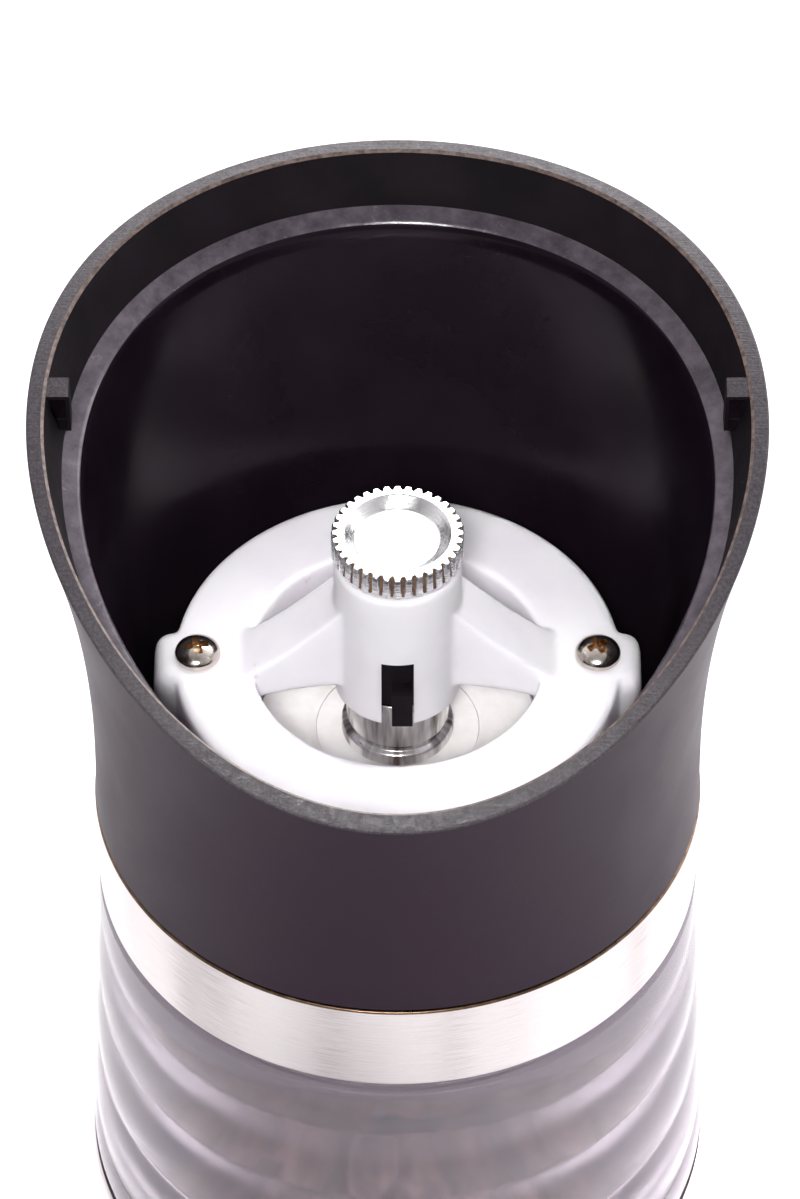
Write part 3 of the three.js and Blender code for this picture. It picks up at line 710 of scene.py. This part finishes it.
def skirt_outline(angle):
    outer_low = (WAIST_R + 0.2, BAND_TOP + 0.25)
    outer_top = wall_point(angle, 0, RIM_FILLET)
    inner_top = wall_point(angle, SKIRT_WALL, RIM_FILLET)
    beside_ledge = wall_point(angle, SKIRT_WALL, LEDGE_DROP)
    inner_low = (WAIST_R - 1.1, BAND_TOP + 0.15)
    outline = [(WAIST_R + 0.05, BAND_TOP + 0.1), outer_low]
    outline += run_between(
        outer_low, outer_top, OUTER_STEPS,
        lambda height, share: skirt_radius(height) + 0.2 * (1 - share) ** 12,
    )
    outline.append(outer_top)
    outline.append(wall_point(angle, RIM_FILLET * 0.3, RIM_FILLET * 0.3))
    outline.append(wall_point(angle, RIM_FILLET, 0))
    outline.append(wall_point(angle, SKIRT_WALL - RIM_FILLET, 0))
    outline.append(inner_top)
    for share in (0.25, 0.5, 0.75):
        outline.append(wall_point(angle, SKIRT_WALL, RIM_FILLET + share * (LEDGE_DROP - RIM_FILLET)))
    outline.append(beside_ledge)
    outline += run_between(
        beside_ledge, inner_low, INNER_STEPS,
        lambda height, share: skirt_radius(height) - SKIRT_WALL + 0.5 * share,
    )
    outline.append(inner_low)
    return outline


def lug(side):
    """The small lug on the wall's inside, whose outer side leans with the wall."""
    foot = rim_height(LUG_BACK_Y) - LEDGE_DROP + 0.1
    top = rim_height(LUG_FRONT_Y) - LUG_DROP
    rise = RIM_SLOPE * (LUG_BACK_Y - LUG_FRONT_Y)
    profile = [
        (LUG_INNER_X, foot, 0),
        (LUG_ROOT_FOOT_X, foot, 0),
        (LUG_ROOT_TOP_X, top, 0),
        (LUG_INNER_X, top, 0.25),
    ]
    corners = rounded(profile, 3)
    vertices = []
    for y, lift in ((LUG_FRONT_Y, 0), (LUG_BACK_Y, rise)):
        vertices += [(side * x, y, z + (lift if z > foot + 1 else 0)) for x, z in corners]
    return new_object("lug", vertices, prism_faces(len(corners)))


def lug_hollow(side):
    """A pocket in the lug's front, behind a thin wall and under a thin roof."""
    foot = rim_height(LUG_BACK_Y) - LEDGE_DROP + 0.4
    top = rim_height(LUG_FRONT_Y) - LUG_DROP - 0.4
    inner = LUG_INNER_X + 0.35
    size = (1.5, 1.5, top - foot)
    middle = (side * (inner + 0.75), LUG_FRONT_Y + 0.45, (foot + top) / 2)
    return block("lug_hollow", size, middle, 0.1, 2)


def paint_skirt(mesh):
    """The rim's face, the inside (darker, painted shade), the rim's inner edge (a painted highlight),
    the lugs' tops (painted light) and the lugs' hollows (painted shade) get their own looks.
    """
    for polygon in mesh.polygons:
        centre = polygon.center / MM
        radius = math.hypot(centre.x, centre.y)
        inward = polygon.normal.x * centre.x + polygon.normal.y * centre.y < 0
        drop = rim_height(centre.y) - centre.z
        # The lugs' upward top faces take the rim's lighter look as painted light.
        lug_top_painted_light = polygon.normal.z > 0.7 and drop < 1.4
        within_lug = LUG_FRONT_Y + 0.05 < centre.y < LUG_BACK_Y - 0.3 and drop > 0.8
        off_wall = radius < skirt_radius(centre.z) - SKIRT_WALL - 0.02
        # The lugs' hollows take the darker gloss black as painted shade.
        if within_lug and LUG_INNER_X + 0.2 < abs(centre.x) and off_wall:
            polygon.material_index = HOLLOW_PAINTED_SHADE
        # The rim's inner edge takes the lighter brown look as a painted highlight.
        elif inward and 0.02 < drop < RIM_FILLET:
            polygon.material_index = RIM_INNER_EDGE_HIGHLIGHT
        elif drop < RIM_FILLET * 0.8 or lug_top_painted_light:
            polygon.material_index = RIM_FACE
        # The inside faces take the darker black as painted shade.
        elif inward or radius < skirt_radius(centre.z) - 0.4:
            polygon.material_index = INSIDE_PAINTED_SHADE


def skirt_shell():
    shell = turned("skirt_shell_skin", skirt_outline, 360)
    cut(shell, [lug(-1), lug(1)], "UNION")
    cut(shell, [lug_hollow(-1), lug_hollow(1)])
    paint_skirt(shell.data)
    smooth(shell, math.radians(14))
    looks = [SOFT_BLACK, RIM_BLACK, SHADE_DARKENED_BLACK, RIM_EDGE_HIGHLIGHT, GLOSS_BLACK]
    dress(shell, "body", looks, ["skirt_shell"])


def liner_outline(angle):
    """The ledge under the rim, the glossy cone, and the pocket and neck that the band covers."""
    ledge_outer = wall_point(angle, SKIRT_WALL + 0.02, LEDGE_DROP)
    ledge_flat = wall_point(angle, LEDGE_INSET - 0.35, LEDGE_DROP + LEDGE_SLOPE * 0.4)
    ledge_inner = wall_point(angle, LEDGE_INSET - 0.12, LEDGE_DROP + LEDGE_SLOPE * 0.6)
    lip = wall_point(angle, LEDGE_INSET, LEDGE_DROP + LEDGE_SLOPE)
    under = wall_point(angle, SKIRT_WALL + 0.3, LEDGE_DROP + LEDGE_THICKNESS)
    pocket_top = (POCKET_R, BAND_TOP + 8)
    pocket_outer_r = POCKET_R + LINER_WALL

    def cone(_, share):
        straight = lip[0] + share * (pocket_top[0] - lip[0])
        return straight + LINER_BULGE * math.sin(math.pi * share)

    def outer_cone(height, share):
        straight = pocket_outer_r + share * (under[0] - pocket_outer_r)
        free = skirt_radius(height) - SKIRT_WALL - 0.1
        return min(straight + LINER_BULGE * math.sin(math.pi * share), free)

    outer_low = (pocket_outer_r, BAND_TOP + 7.2)
    neck = WAIST_R - 1.4
    outline = [ledge_outer, ledge_flat, ledge_inner, lip]
    outline += run_between(lip, pocket_top, 24, cone)
    outline += [pocket_top]
    outline += rounded([
        (POCKET_R, BAND_TOP + 3.5, 1.0),
        (15.8, BAND_TOP + 3.5, 0.4),
        (15.8, BAND_TOP + 0.8, 0.2),
        (26.3, BAND_TOP + 0.8, 0.2),
        (26.3, BAND_FOOT, 0.2),
        (27.9, BAND_FOOT, 0.2),
        (27.9, BAND_TOP - 0.3, 0),
        (neck, BAND_TOP - 0.3, 0),
        (neck, BAND_TOP + 2.5, 0.2),
        (pocket_outer_r, BAND_TOP + 3.5, 0.4),
    ])
    outline.append(outer_low)
    outline += run_between(outer_low, under, 16, outer_cone)
    outline.append(under)
    return outline


def skirt_liner():
    liner = turned("skirt_liner_skin", liner_outline, 240)
    for polygon in liner.data.polygons:
        centre = polygon.center / MM
        # Upward faces near the top (the ledge) get the lighter ledge look as painted light.
        if polygon.normal.z > 0.5 and centre.z > BAND_TOP + 12:
            polygon.material_index = 1
    smooth(liner)
    dress(liner, "body", [GLOSS_BLACK, LEDGE_PAINTED_LIGHT], ["skirt_liner"])


# ---------------------------------------------------------------- bands, chamber and base

def steel_band():
    band = turned("steel_band_skin", rounded([
        (BAND_R - 0.8, BAND_FOOT, 0.1),
        (BAND_R, BAND_FOOT, 0.25),
        (BAND_R, BAND_TOP - 0.05, 0.25),
        (BAND_R - 0.8, BAND_TOP - 0.05, 0.1),
    ]), 256)
    for polygon in band.data.polygons:
        if polygon.center.z / MM > BAND_TOP - 0.27:
            polygon.material_index = 1
    smooth(band)
    dress(band, "body", [BRUSHED_STEEL, BRONZE_EDGE], ["steel_band"])


def band_gasket():
    foot = low("band_gasket").z
    top = high("band_gasket").z
    outer_r = high("band_gasket").x
    gasket = turned("band_gasket_skin", rounded([
        (26.3, foot, 0.1),
        (outer_r, foot, 0.15),
        (outer_r, top, 0.15),
        (26.3, top, 0.1),
    ]), 256)
    smooth(gasket)
    dress(gasket, "body", [RUBBER], ["band_gasket"])


RIDGE_SPACING = 9.6
RIDGE_DEPTH = 0.36
CHAMBER_SHOULDER = high("turn_collar").z + 0.1


def chamber_outer(height):
    """The chamber widens towards the base, in soft waves that meet in narrow ridges."""
    share = (CHAMBER_TOP - height) / (CHAMBER_TOP - CHAMBER_SHOULDER)
    wide = high("turn_collar").x
    wave = abs(math.cos(math.pi * (CHAMBER_TOP - 2.5 - height) / RIDGE_SPACING))
    fade = min(1.0, share * 6, (1 - share) * 10)
    return BAND_R + share * (wide - BAND_R) - RIDGE_DEPTH * (1 - wave ** 0.8) * max(0.0, fade)


def chamber_tube():
    foot_r = 27.0
    bore = 25.4
    spigot_bore = 24.6
    spigot_r = 26.0
    spigot_top = BAND_TOP - 1.4
    shoulder_r = high("turn_collar").x - 0.1
    outline = rounded([
        (bore, CHAMBER_FOOT, 0.3),
        (foot_r, CHAMBER_FOOT, 0.3),
        (foot_r, CHAMBER_SHOULDER, 0),
        (shoulder_r, CHAMBER_SHOULDER, 0.2),
        (shoulder_r, CHAMBER_SHOULDER + 0.5, 0),
    ])
    outline += run_between(
        (0, CHAMBER_SHOULDER + 0.5), (0, CHAMBER_TOP - 0.4), 110,
        lambda height, _: chamber_outer(height),
    )
    outline += rounded([
        (BAND_R - 0.25, CHAMBER_TOP, 0.2),
        (REBATE_R, CHAMBER_TOP, 0),
        (REBATE_R, REBATE_Z, 0),
        (spigot_r, REBATE_Z, 0),
        (spigot_r, spigot_top, 0.2),
        (spigot_bore, spigot_top, 0.2),
        (spigot_bore, REBATE_Z - 2, 0.4),
        (bore, REBATE_Z - 3.2, 0.8),
    ])
    outline += run_between((0, CHAMBER_TOP - 5), (0, CHAMBER_FOOT + 3), 40, lambda *_: bore)
    tube = turned("chamber_tube_skin", outline, 256)
    smooth(tube)
    dress(tube, "body", [CLEAR_PLASTIC], ["chamber_tube"])


def turn_collar():
    """The collar's flange is the dark line between the chamber and the lower band."""
    top = high("turn_collar").z
    flange_r = high("turn_collar").x
    foot = low("turn_collar").z
    collar = turned("turn_collar_skin", rounded([
        (7.0, foot, 0.2),
        (8.7, foot, 0.2),
        (9.7, foot + 1.6, 0.2),
        (9.7, foot + 5.7, 0.2),
        (29.2, foot + 5.7, 0.4),
        (29.2, top - 0.7, 0.1),
        (flange_r, top - 0.7, 0.2),
        (flange_r, top, 0.2),
        (27.4, top, 0.3),
        (27.4, foot + 7.7, 1.0),
        (7.0, foot + 7.7, 0.3),
    ]), 192)
    smooth(collar)
    dress(collar, "collar", [SOFT_BLACK], ["turn_collar"])


def base_band():
    foot = low("base_band").z
    band = turned("base_band_skin", rounded([
        (BASE_R - 0.7, foot, 0.1),
        (BASE_R, foot, 0.2),
        (BASE_R, BASE_TOP, 0.3),
        (BASE_R - 0.7, BASE_TOP, 0.1),
    ]), 256)
    smooth(band)
    dress(band, "base", [BRUSHED_STEEL], ["base_band"])


def base_shell():
    foot_r = high("base_shell").x
    foot = low("base_shell").z
    band_foot = low("base_band").z
    inner = 29.5
    recess_r = 31.3          # the base plate lies in this recess
    recess_top = 5.2
    deck_foot = 16
    deck_top = 18.4
    corners = [
        (recess_r, foot, 0.2),
        (foot_r, foot, 1.0),
        (foot_r - 0.05, foot + 3, 1.5),
        (foot_r - 1.05, BASE_TOP / 3, 6.0),
        (BASE_R, band_foot - 0.1, 0.3),
        (BASE_R - 1, band_foot - 0.1, 0.1),
        (BASE_R - 1, BASE_TOP - 0.3, 0.1),
        (inner, BASE_TOP - 0.3, 0.2),
        (inner, deck_top, 1.0),
        (10, deck_top, 0.3),
        (10, deck_foot, 0.3),
        (inner, deck_foot, 1.0),
        (inner, recess_top, 0.2),
        (recess_r, recess_top, 0.2),
    ]
    shell = turned("base_shell_skin", rounded(corners, 6), 256)
    smooth(shell)
    dress(shell, "base", [SOFT_BLACK], ["base_shell"])


def foot_pad():
    """A rubber disc with three round grooves in its lower face."""
    radius = high("foot_pad").x
    top = high("foot_pad").z
    outline = rounded([
        (0, 0, 0),
        (radius, 0, 0.6),
        (radius, top, 0.3),
        (0, top, 0),
    ])
    grooves = []
    for groove_r in (25, 27, 29):
        grooves += [(groove_r - 0.4, 0.0), (groove_r, 0.5), (groove_r + 0.4, 0.0)]
    outline[1:1] = grooves
    pad = turned("foot_pad_skin", outline, 192)
    smooth(pad)
    dress(pad, "base", [RUBBER], ["foot_pad"])


# ---------------------------------------------------------------- mechanism

RING_R = 20.9
RING_BORE_R = 13.6
HUB_R = 5.9
HUB_BORE_R = 5.1
STEM_BORE_R = 2.6
SCREW_BORE_R = 1.5
SLOT_TOP = HUB_FOOT + 8.1
SLOT_SIZE = (3.0, 4, 11.1)
EAR_REACH = high("mechanism_frame").x
EAR_ROOT = 16
VOXEL = 0.2


def arm_prism(side):
    """A sloping arm: a plate in the XZ plane with a curved top and underside."""
    steps = 14
    half_width = 3.0
    in_hub = 3.0
    in_ring = RING_BORE_R + 1.6
    top = curve(
        Vector((in_ring, RING_TOP - 0.35)),
        Vector((9.2, RING_TOP + 3.6)),
        Vector((in_hub, HUB_TOP - 1.6)),
        steps,
    )
    underside = curve(
        Vector((in_hub, RING_TOP - 0.9)),
        Vector((9.5, RING_TOP - 1.0)),
        Vector((in_ring, RING_TOP - 3.6)),
        steps,
    )
    profile = top + underside
    vertices = [(side * p.x, y, p.y) for y in (-half_width, half_width) for p in profile]
    return new_object("arm", vertices, prism_faces(len(profile)))


def drill(name, radius, foot, top, facets):
    return turned(name, [(0, foot), (radius, foot), (radius, top), (0, top)], facets)


def mechanism_frame():
    """Ring, ears, arms and hub fused into one moulding, then bored."""
    foot = low("mechanism_frame").z
    middle_z = (foot + RING_TOP) / 2
    ring = turned("ring", rounded([
        (RING_BORE_R, foot, 0),
        (RING_R, foot, 0),
        (RING_R, RING_TOP, 0.5),
        (RING_BORE_R, RING_TOP, 0.4),
    ]), 160)
    ears = []
    for side in (-1, 1):
        middle = (side * (EAR_REACH + EAR_ROOT) / 2, 0, middle_z)
        ears.append(block("ear", (EAR_REACH - EAR_ROOT, 7.4, RING_TOP - foot), middle, 1.6, 5))
        root = (side * 18.9, 0, middle_z)
        ears.append(block("ear_root", (3.2, 11.4, RING_TOP - foot - 0.1), root, 1.5, 4))
    hub = turned("hub", rounded([
        (0, HUB_FOOT - 0.5, 0),
        (HUB_R, HUB_FOOT - 0.5, 0.3),
        (HUB_R, HUB_TOP, 0.4),
        (0, HUB_TOP, 0),
    ]), 96)
    body = merged("mechanism_frame_skin", [ring, hub, arm_prism(-1), arm_prism(1)] + ears)
    moulded(body, VOXEL, 24)
    bore = drill("bore", HUB_BORE_R, HUB_FOOT - 2, HUB_TOP - 3, 96)
    stem = drill("stem", STEM_BORE_R, HUB_TOP - 4, HUB_TOP + 1, 48)
    trim = block("trim", (20, 20, 4), (0, 0, HUB_FOOT - 2))
    slot = block("slot", SLOT_SIZE, (0, -HUB_R, SLOT_TOP - SLOT_SIZE[2] / 2))
    seats = []
    for side in (-1, 1):
        seat = drill("seat", SCREW_BORE_R, foot - 1, RING_TOP + 2, 48)
        seat.data.transform(Matrix.Translation((side * SCREW_X * MM, 0, 0)))
        seats.append(seat)
    cut(body, [trim, bore, stem, slot] + seats)
    smooth(body, math.radians(50))
    dress(body, "body", [DUSTY_PLASTIC], ["mechanism_frame"])


STATOR_TEETH = 15
STATOR_LIP_R = 7.74      # narrower than the CAD's bore, so the grinding gap hardly shows


def burr_floor():
    """The stator's face is the white floor round the collar, with a shallow round recess."""
    top = high("stator_burr").z
    foot = low("stator_burr").z
    radius = high("stator_burr").x

    def outline_at(angle):
        tooth = 0.35 * math.cos(STATOR_TEETH * angle)
        return [
            (10.0 + tooth, foot),
            (radius, foot),
            (radius, top - 0.2),
            (radius - 0.2, top),
            (9.0, top),
            (8.5, top - 0.12),
            (8.0, top - 0.4),
            (STATOR_LIP_R, top - 0.5),
            (STATOR_LIP_R, top - 0.9),
            (8.2 + tooth * 0.2, top - 2.5),
            (8.9 + tooth * 0.8, top - 7),
        ]

    stator = turned("stator_burr_skin", outline_at, 240)
    smooth(stator, math.radians(30))
    dress(stator, "body", [CERAMIC], ["stator_burr"])


def frame_screw(side):
    """A domed head with a cross recess whose arms narrow towards its floor."""
    name = "frame_screw_left" if side < 0 else "frame_screw_right"
    seat = RING_TOP + 0.02
    head_r = 2.15
    rise = 1.45
    edge = 0.25              # the dome springs from this height over the seat
    recess_depth = 0.9
    dome_steps = 12
    dome = []
    for step in range(dome_steps + 1):
        angle = math.pi / 2 * step / dome_steps
        dome.append((head_r * math.cos(angle), seat + edge + (rise - edge) * math.sin(angle)))
    dome[-1] = (0, dome[-1][1])
    outline = [
        (0, low(name).z),
        (1.1, low(name).z + 0.5),
        (1.2, seat),
        (head_r - 0.1, seat),
        (head_r, seat + 0.08),
    ]
    head = turned(name + "_skin", outline + dome, 96)
    tools = []
    for spin in (20, 110):
        wedge = block("cross", (3.0, 0.74, 2.3), (0, 0, seat + rise + 0.1), 0.1, 2)
        for vertex in wedge.data.vertices:
            depth = max(0.0, (seat + rise) * MM - vertex.co.z) / (recess_depth * MM)
            vertex.co.x *= 1 - 0.45 * depth
        wedge.data.transform(Matrix.Rotation(math.radians(spin + 8 * side), 4, "Z"))
        tools.append(wedge)
    cut(head, tools)
    # The cross recess's faces take the brown-gold look as a painted reflection.
    for polygon in head.data.polygons:
        centre = polygon.center / MM
        share = min(1.0, math.hypot(centre.x, centre.y) / head_r)
        dome_height = seat + edge + (rise - edge) * math.sqrt(1 - share ** 2)
        if seat < centre.z < dome_height - 0.12 and share < 0.85:
            polygon.material_index = 1
    head.data.transform(Matrix.Translation((side * SCREW_X * MM, 0, 0)))
    smooth(head, math.radians(40))
    dress(head, "body", [BRIGHT_STEEL, RECESS_PAINTED_REFLECTION], [name])


KNURLS = 36
NOTCH_DEPTH = 0.50
FACETS_PER_KNURL = 16


def adjusting_knob():
    """A threaded stem under a knurled head with a dished top."""
    foot = low("adjusting_knob").z
    dish_r = KNOB_R * 0.79
    floor_r = KNOB_R * 0.64

    def outline_at(angle):
        notch = max(0.0, (0.25 - math.cos(KNURLS * angle)) / 1.25)
        return rounded([
            (0, foot, 0),
            (1.9, foot, 0.2),
            (1.9, HUB_TOP - 5.6, 0),
            (2.3, HUB_TOP - 5.6, 0),
            (2.3, KNOB_FOOT, 0.1),
            (KNOB_R - 0.7, KNOB_FOOT, 0.1),
            (KNOB_R - 0.12 * notch, KNOB_FOOT + 0.7, 0.2),
            (KNOB_R - NOTCH_DEPTH * notch, KNOB_TOP - 0.12, 0.05),
            (KNOB_R - 0.14 - NOTCH_DEPTH * notch, KNOB_TOP, 0.04),
            (dish_r + 0.1, KNOB_TOP, 0.12),
            (floor_r, KNOB_TOP - 0.95, 0.15),
            (0, KNOB_TOP - 1.0, 0),
        ], 3)

    knob = turned("adjusting_knob_skin", outline_at, KNURLS * FACETS_PER_KNURL)
    # The groove faces between the knurls take the dark brown look as painted shade.
    for polygon in knob.data.polygons:
        centre = polygon.center / MM
        radius = math.hypot(centre.x, centre.y)
        beside = centre.z > KNOB_FOOT + 1.2 and polygon.normal.z < 0.6 and radius > dish_r + 0.2
        if beside and radius < KNOB_R - 0.27:
            polygon.material_index = 1
    smooth(knob, math.radians(45))
    dress(knob, "knob", [ALUMINIUM, KNURL_GROOVE_SHADE], ["adjusting_knob"])


KEY_X = 0.43


def key_sleeve():
    """A sleeve in the hub's bore, whose key hangs in the hub's slot."""
    foot = low("key_sleeve").z
    top = high("key_sleeve").z
    sleeve_foot = foot + 1.0
    sleeve = turned("key_sleeve_skin", rounded([
        (3.6, sleeve_foot, 0.1),
        (4.85, sleeve_foot, 0.1),
        (4.85, top, 0.2),
        (2.2, top, 0.2),
        (2.2, foot + 3.1, 0.1),
        (3.6, foot + 3.1, 0.1),
    ]), 96)
    hanging = block("key", (1.93, 1.6, 4.1), (KEY_X, -HUB_R + 0.05, foot + 2.1), 0.08, 2)
    rooted = block("root", (1.8, 2.4, 2.9), (KEY_X, -HUB_R + 0.75, foot + 2.6), 0.05, 2)
    cut(sleeve, [hanging, rooted], "UNION")
    smooth(sleeve, math.radians(30))
    # The sleeve takes the darkened black, painted shade for the slot it hangs in.
    dress(sleeve, "sleeve", [SHADE_DARKENED_BLACK], ["key_sleeve"])


def spindle_collar():
    foot = low("spindle_collar").z
    top = HUB_FOOT + 1.2
    collar = turned("spindle_collar_skin", rounded([
        (2.3, foot, 0.1),
        (5.3, foot, 0.1),
        (5.3, foot + 1.2, 0.25),
        (4.75, foot + 1.5, 0.1),
        (4.75, foot + 1.9, 0.1),
        (4.85, foot + 2.1, 0.1),
        (4.85, top, 0.2),
        (3.3, top, 0.1),
        (3.3, top + 1.8, 0.3),
        (2.3, top + 1.8, 0.1),
    ]), 160)
    smooth(collar, math.radians(30))
    dress(collar, "rotor", [SPINDLE_METAL], ["spindle_collar"])


# ---------------------------------------------------------------- pepper

PEPPER_LAYERS = 11
PEPPER_LAYER_HEIGHT = 3.6
PEPPER_SPACING = 4.9
PEPPER_TOP = 66
PEPPER_TILT = 8


def peppercorn(radius, centre, seed):
    """A wrinkled ball, in millimetres."""
    work = bmesh.new()
    bmesh.ops.create_icosphere(work, subdivisions=3, radius=1)
    for vertex in work.verts:
        direction = vertex.co.normalized()
        dent = noise.noise(direction * 2.6 + Vector((seed, 0, 0)))
        wrinkle = 1 - abs(noise.noise(direction * 5.5 + Vector((0, seed, 0))))
        vertex.co = direction * (1 + 0.08 * dent - 0.13 * wrinkle ** 3) * radius
    bmesh.ops.translate(work, vec=centre, verts=work.verts)
    bmesh.ops.scale(work, vec=(MM, MM, MM), verts=work.verts)
    return from_work("corn", work)


def pepper_fill():
    """Peppercorns in layers, those at the chamber's wall first, heaped a little to one side."""
    places = []
    wall_ring = 22.4
    foot = high("turn_collar").z - 10
    for layer in range(PEPPER_LAYERS):
        height = foot + layer * PEPPER_LAYER_HEIGHT
        for ring_r in (wall_ring, 18.4, 14.2):
            count = int(FULL_TURN * ring_r / PEPPER_SPACING)
            for index in range(count):
                angle = (index + random.random() * 0.5 + 0.5 * (layer % 2)) / count * FULL_TURN
                tilt = PEPPER_TILT * math.sin(angle - 0.6)
                heap = PEPPER_TOP + tilt + random.uniform(-3, 3) - (wall_ring - ring_r) * 0.3
                if height > heap or random.random() < 0.1:
                    continue
                r = ring_r + random.uniform(-0.5, 0.3)
                z = height + random.uniform(-0.8, 0.8)
                places.append((r * math.cos(angle), r * math.sin(angle), z))
    corns = []
    for index, place in enumerate(places):
        corns.append(peppercorn(random.uniform(1.9, 2.5), place, index * 0.37))
    fill = merged("peppercorns", corns)
    fill.data.shade_smooth()
    fill.data.materials.append(PEPPER)
    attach(fill, "body")


# ---------------------------------------------------------------- CAD nodes that stay

def finish_cad_nodes():
    looks = {
        "base_plate": SOFT_BLACK,
        "shaft_socket": WHITE_PLASTIC,
        "socket_screw": BRIGHT_STEEL,
        "base_screw_1": BRIGHT_STEEL,
        "base_screw_2": BRIGHT_STEEL,
        "base_screw_3": BRIGHT_STEEL,
        "collar_clip": BRIGHT_STEEL,
        "grip_ring": RUBBER,
        "burr_cup": WHITE_PLASTIC,
        "spring_seat": BRIGHT_STEEL,
        "rotor_spring": BRIGHT_STEEL,
        "knob_clip": BRIGHT_STEEL,
        "rotor_burr": CERAMIC,
        "drive_shaft": BRIGHT_STEEL,
        "thrust_washer": BRIGHT_STEEL,
    }
    for name, look in looks.items():
        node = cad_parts[name]
        node.data.materials.clear()
        node.data.materials.append(look)
        node.data.shade_smooth()
        node.data.set_sharp_from_angle(angle=math.radians(25))


# ---------------------------------------------------------------- studio

def lobe(nodes, links, direction, start, end, strength):
    """A soft glow in the world round one direction."""
    coordinates = nodes.new("ShaderNodeTexCoord")
    dot = nodes.new("ShaderNodeVectorMath")
    dot.operation = "DOT_PRODUCT"
    dot.inputs[1].default_value = Vector(direction).normalized()
    links.new(coordinates.outputs["Generated"], dot.inputs[0])
    fade = nodes.new("ShaderNodeMapRange")
    fade.interpolation_type = "SMOOTHSTEP"
    for socket, value in zip(("From Min", "From Max", "To Min", "To Max"), (start, end, 0, strength)):
        fade.inputs[socket].default_value = value
    links.new(dot.outputs["Value"], fade.inputs["Value"])
    return fade.outputs["Result"]


def studio_world():
    """A white room that is darkest behind the camera and brightest at the back and sides."""
    world = bpy.data.worlds.new("studio")
    bpy.context.scene.world = world
    world.use_nodes = True
    nodes = world.node_tree.nodes
    links = world.node_tree.links
    backdrop = nodes["Background"]
    backdrop.inputs["Color"].default_value = (1.0, 0.975, 0.995, 1)
    total = None
    for glow in (
        lobe(nodes, links, (0, 1, 0.1), -0.2, 0.8, 0.75),
        lobe(nodes, links, (1, 0.2, 0.1), 0.1, 1.0, 0.65),
        lobe(nodes, links, (-1, 0.3, 0.1), 0.3, 1.0, 0.45),
        lobe(nodes, links, (0, 0, 1), -1.0, 1.0, 0.26),
    ):
        if total is None:
            total = glow
            continue
        add = nodes.new("ShaderNodeMath")
        links.new(total, add.inputs[0])
        links.new(glow, add.inputs[1])
        total = add.outputs[0]
    links.new(total, backdrop.inputs["Strength"])


LIGHT_COLOR = (1, 0.99, 1)


def area_light(name, place, aim, size, power, spread=180):
    light = bpy.data.lights.new(name, "AREA")
    light.shape = "RECTANGLE"
    light.size, light.size_y = size
    light.energy = power
    light.color = LIGHT_COLOR
    light.spread = math.radians(spread)
    lamp = linked(name, light)
    lamp.location = place
    direction = Vector(aim) - Vector(place)
    lamp.rotation_euler = direction.to_track_quat("-Z", "Y").to_euler()


def studio():
    size = 3.0
    floor = new_object("studio_floor", [
        (-size, -size, 0), (size, -size, 0), (size, size, 0), (-size, size, 0),
    ], [[0, 1, 2, 3]], 1.0)
    floor.data.materials.append(floor_look())
    studio_world()
    middle = (0, 0, BAND_TOP * MM)
    mouth = (0, 0, RING_TOP * MM)
    area_light("back_softbox", (0.16, 0.62, 0.68), middle, (0.60, 0.45), 7.5)
    area_light("right_softbox", (0.75, 0.25, 0.35), middle, (0.35, 0.5), 1.6)
    area_light("front_softbox", (-0.03, -0.36, 0.48), mouth, (0.12, 0.12), 0.048, spread=16)
    area_light("ledge_softbox", (0.45, 0.55, 0.45), middle, (0.35, 0.35), 2.0)


def camera():
    """The photograph's view: pitched down on the low side of the rim, long lens."""
    camera_back = 11.136         # these three are in band radii from the band's upper edge
    camera_up = 12.584
    camera_side = 0.0076
    pitch = math.radians(46.5)
    data = bpy.data.cameras.new("camera")
    data.sensor_fit = "VERTICAL"
    data.sensor_height = 36
    data.lens = 152.6
    data.clip_start = 0.01
    eye = linked("camera", data)
    radius = BAND_R * MM
    eye.location = (camera_side * radius, -camera_back * radius, BAND_TOP * MM + camera_up * radius)
    eye.rotation_euler = (math.pi / 2 - pitch, 0, 0)
    bpy.context.scene.camera = eye


camera()
studio()
bpy.context.scene.view_settings.view_transform = "Standard"
skirt_shell()
skirt_liner()
steel_band()
band_gasket()
chamber_tube()
turn_collar()
base_band()
base_shell()
foot_pad()
mechanism_frame()
burr_floor()
frame_screw(-1)
frame_screw(1)
adjusting_knob()
key_sleeve()
spindle_collar()
pepper_fill()
finish_cad_nodes()
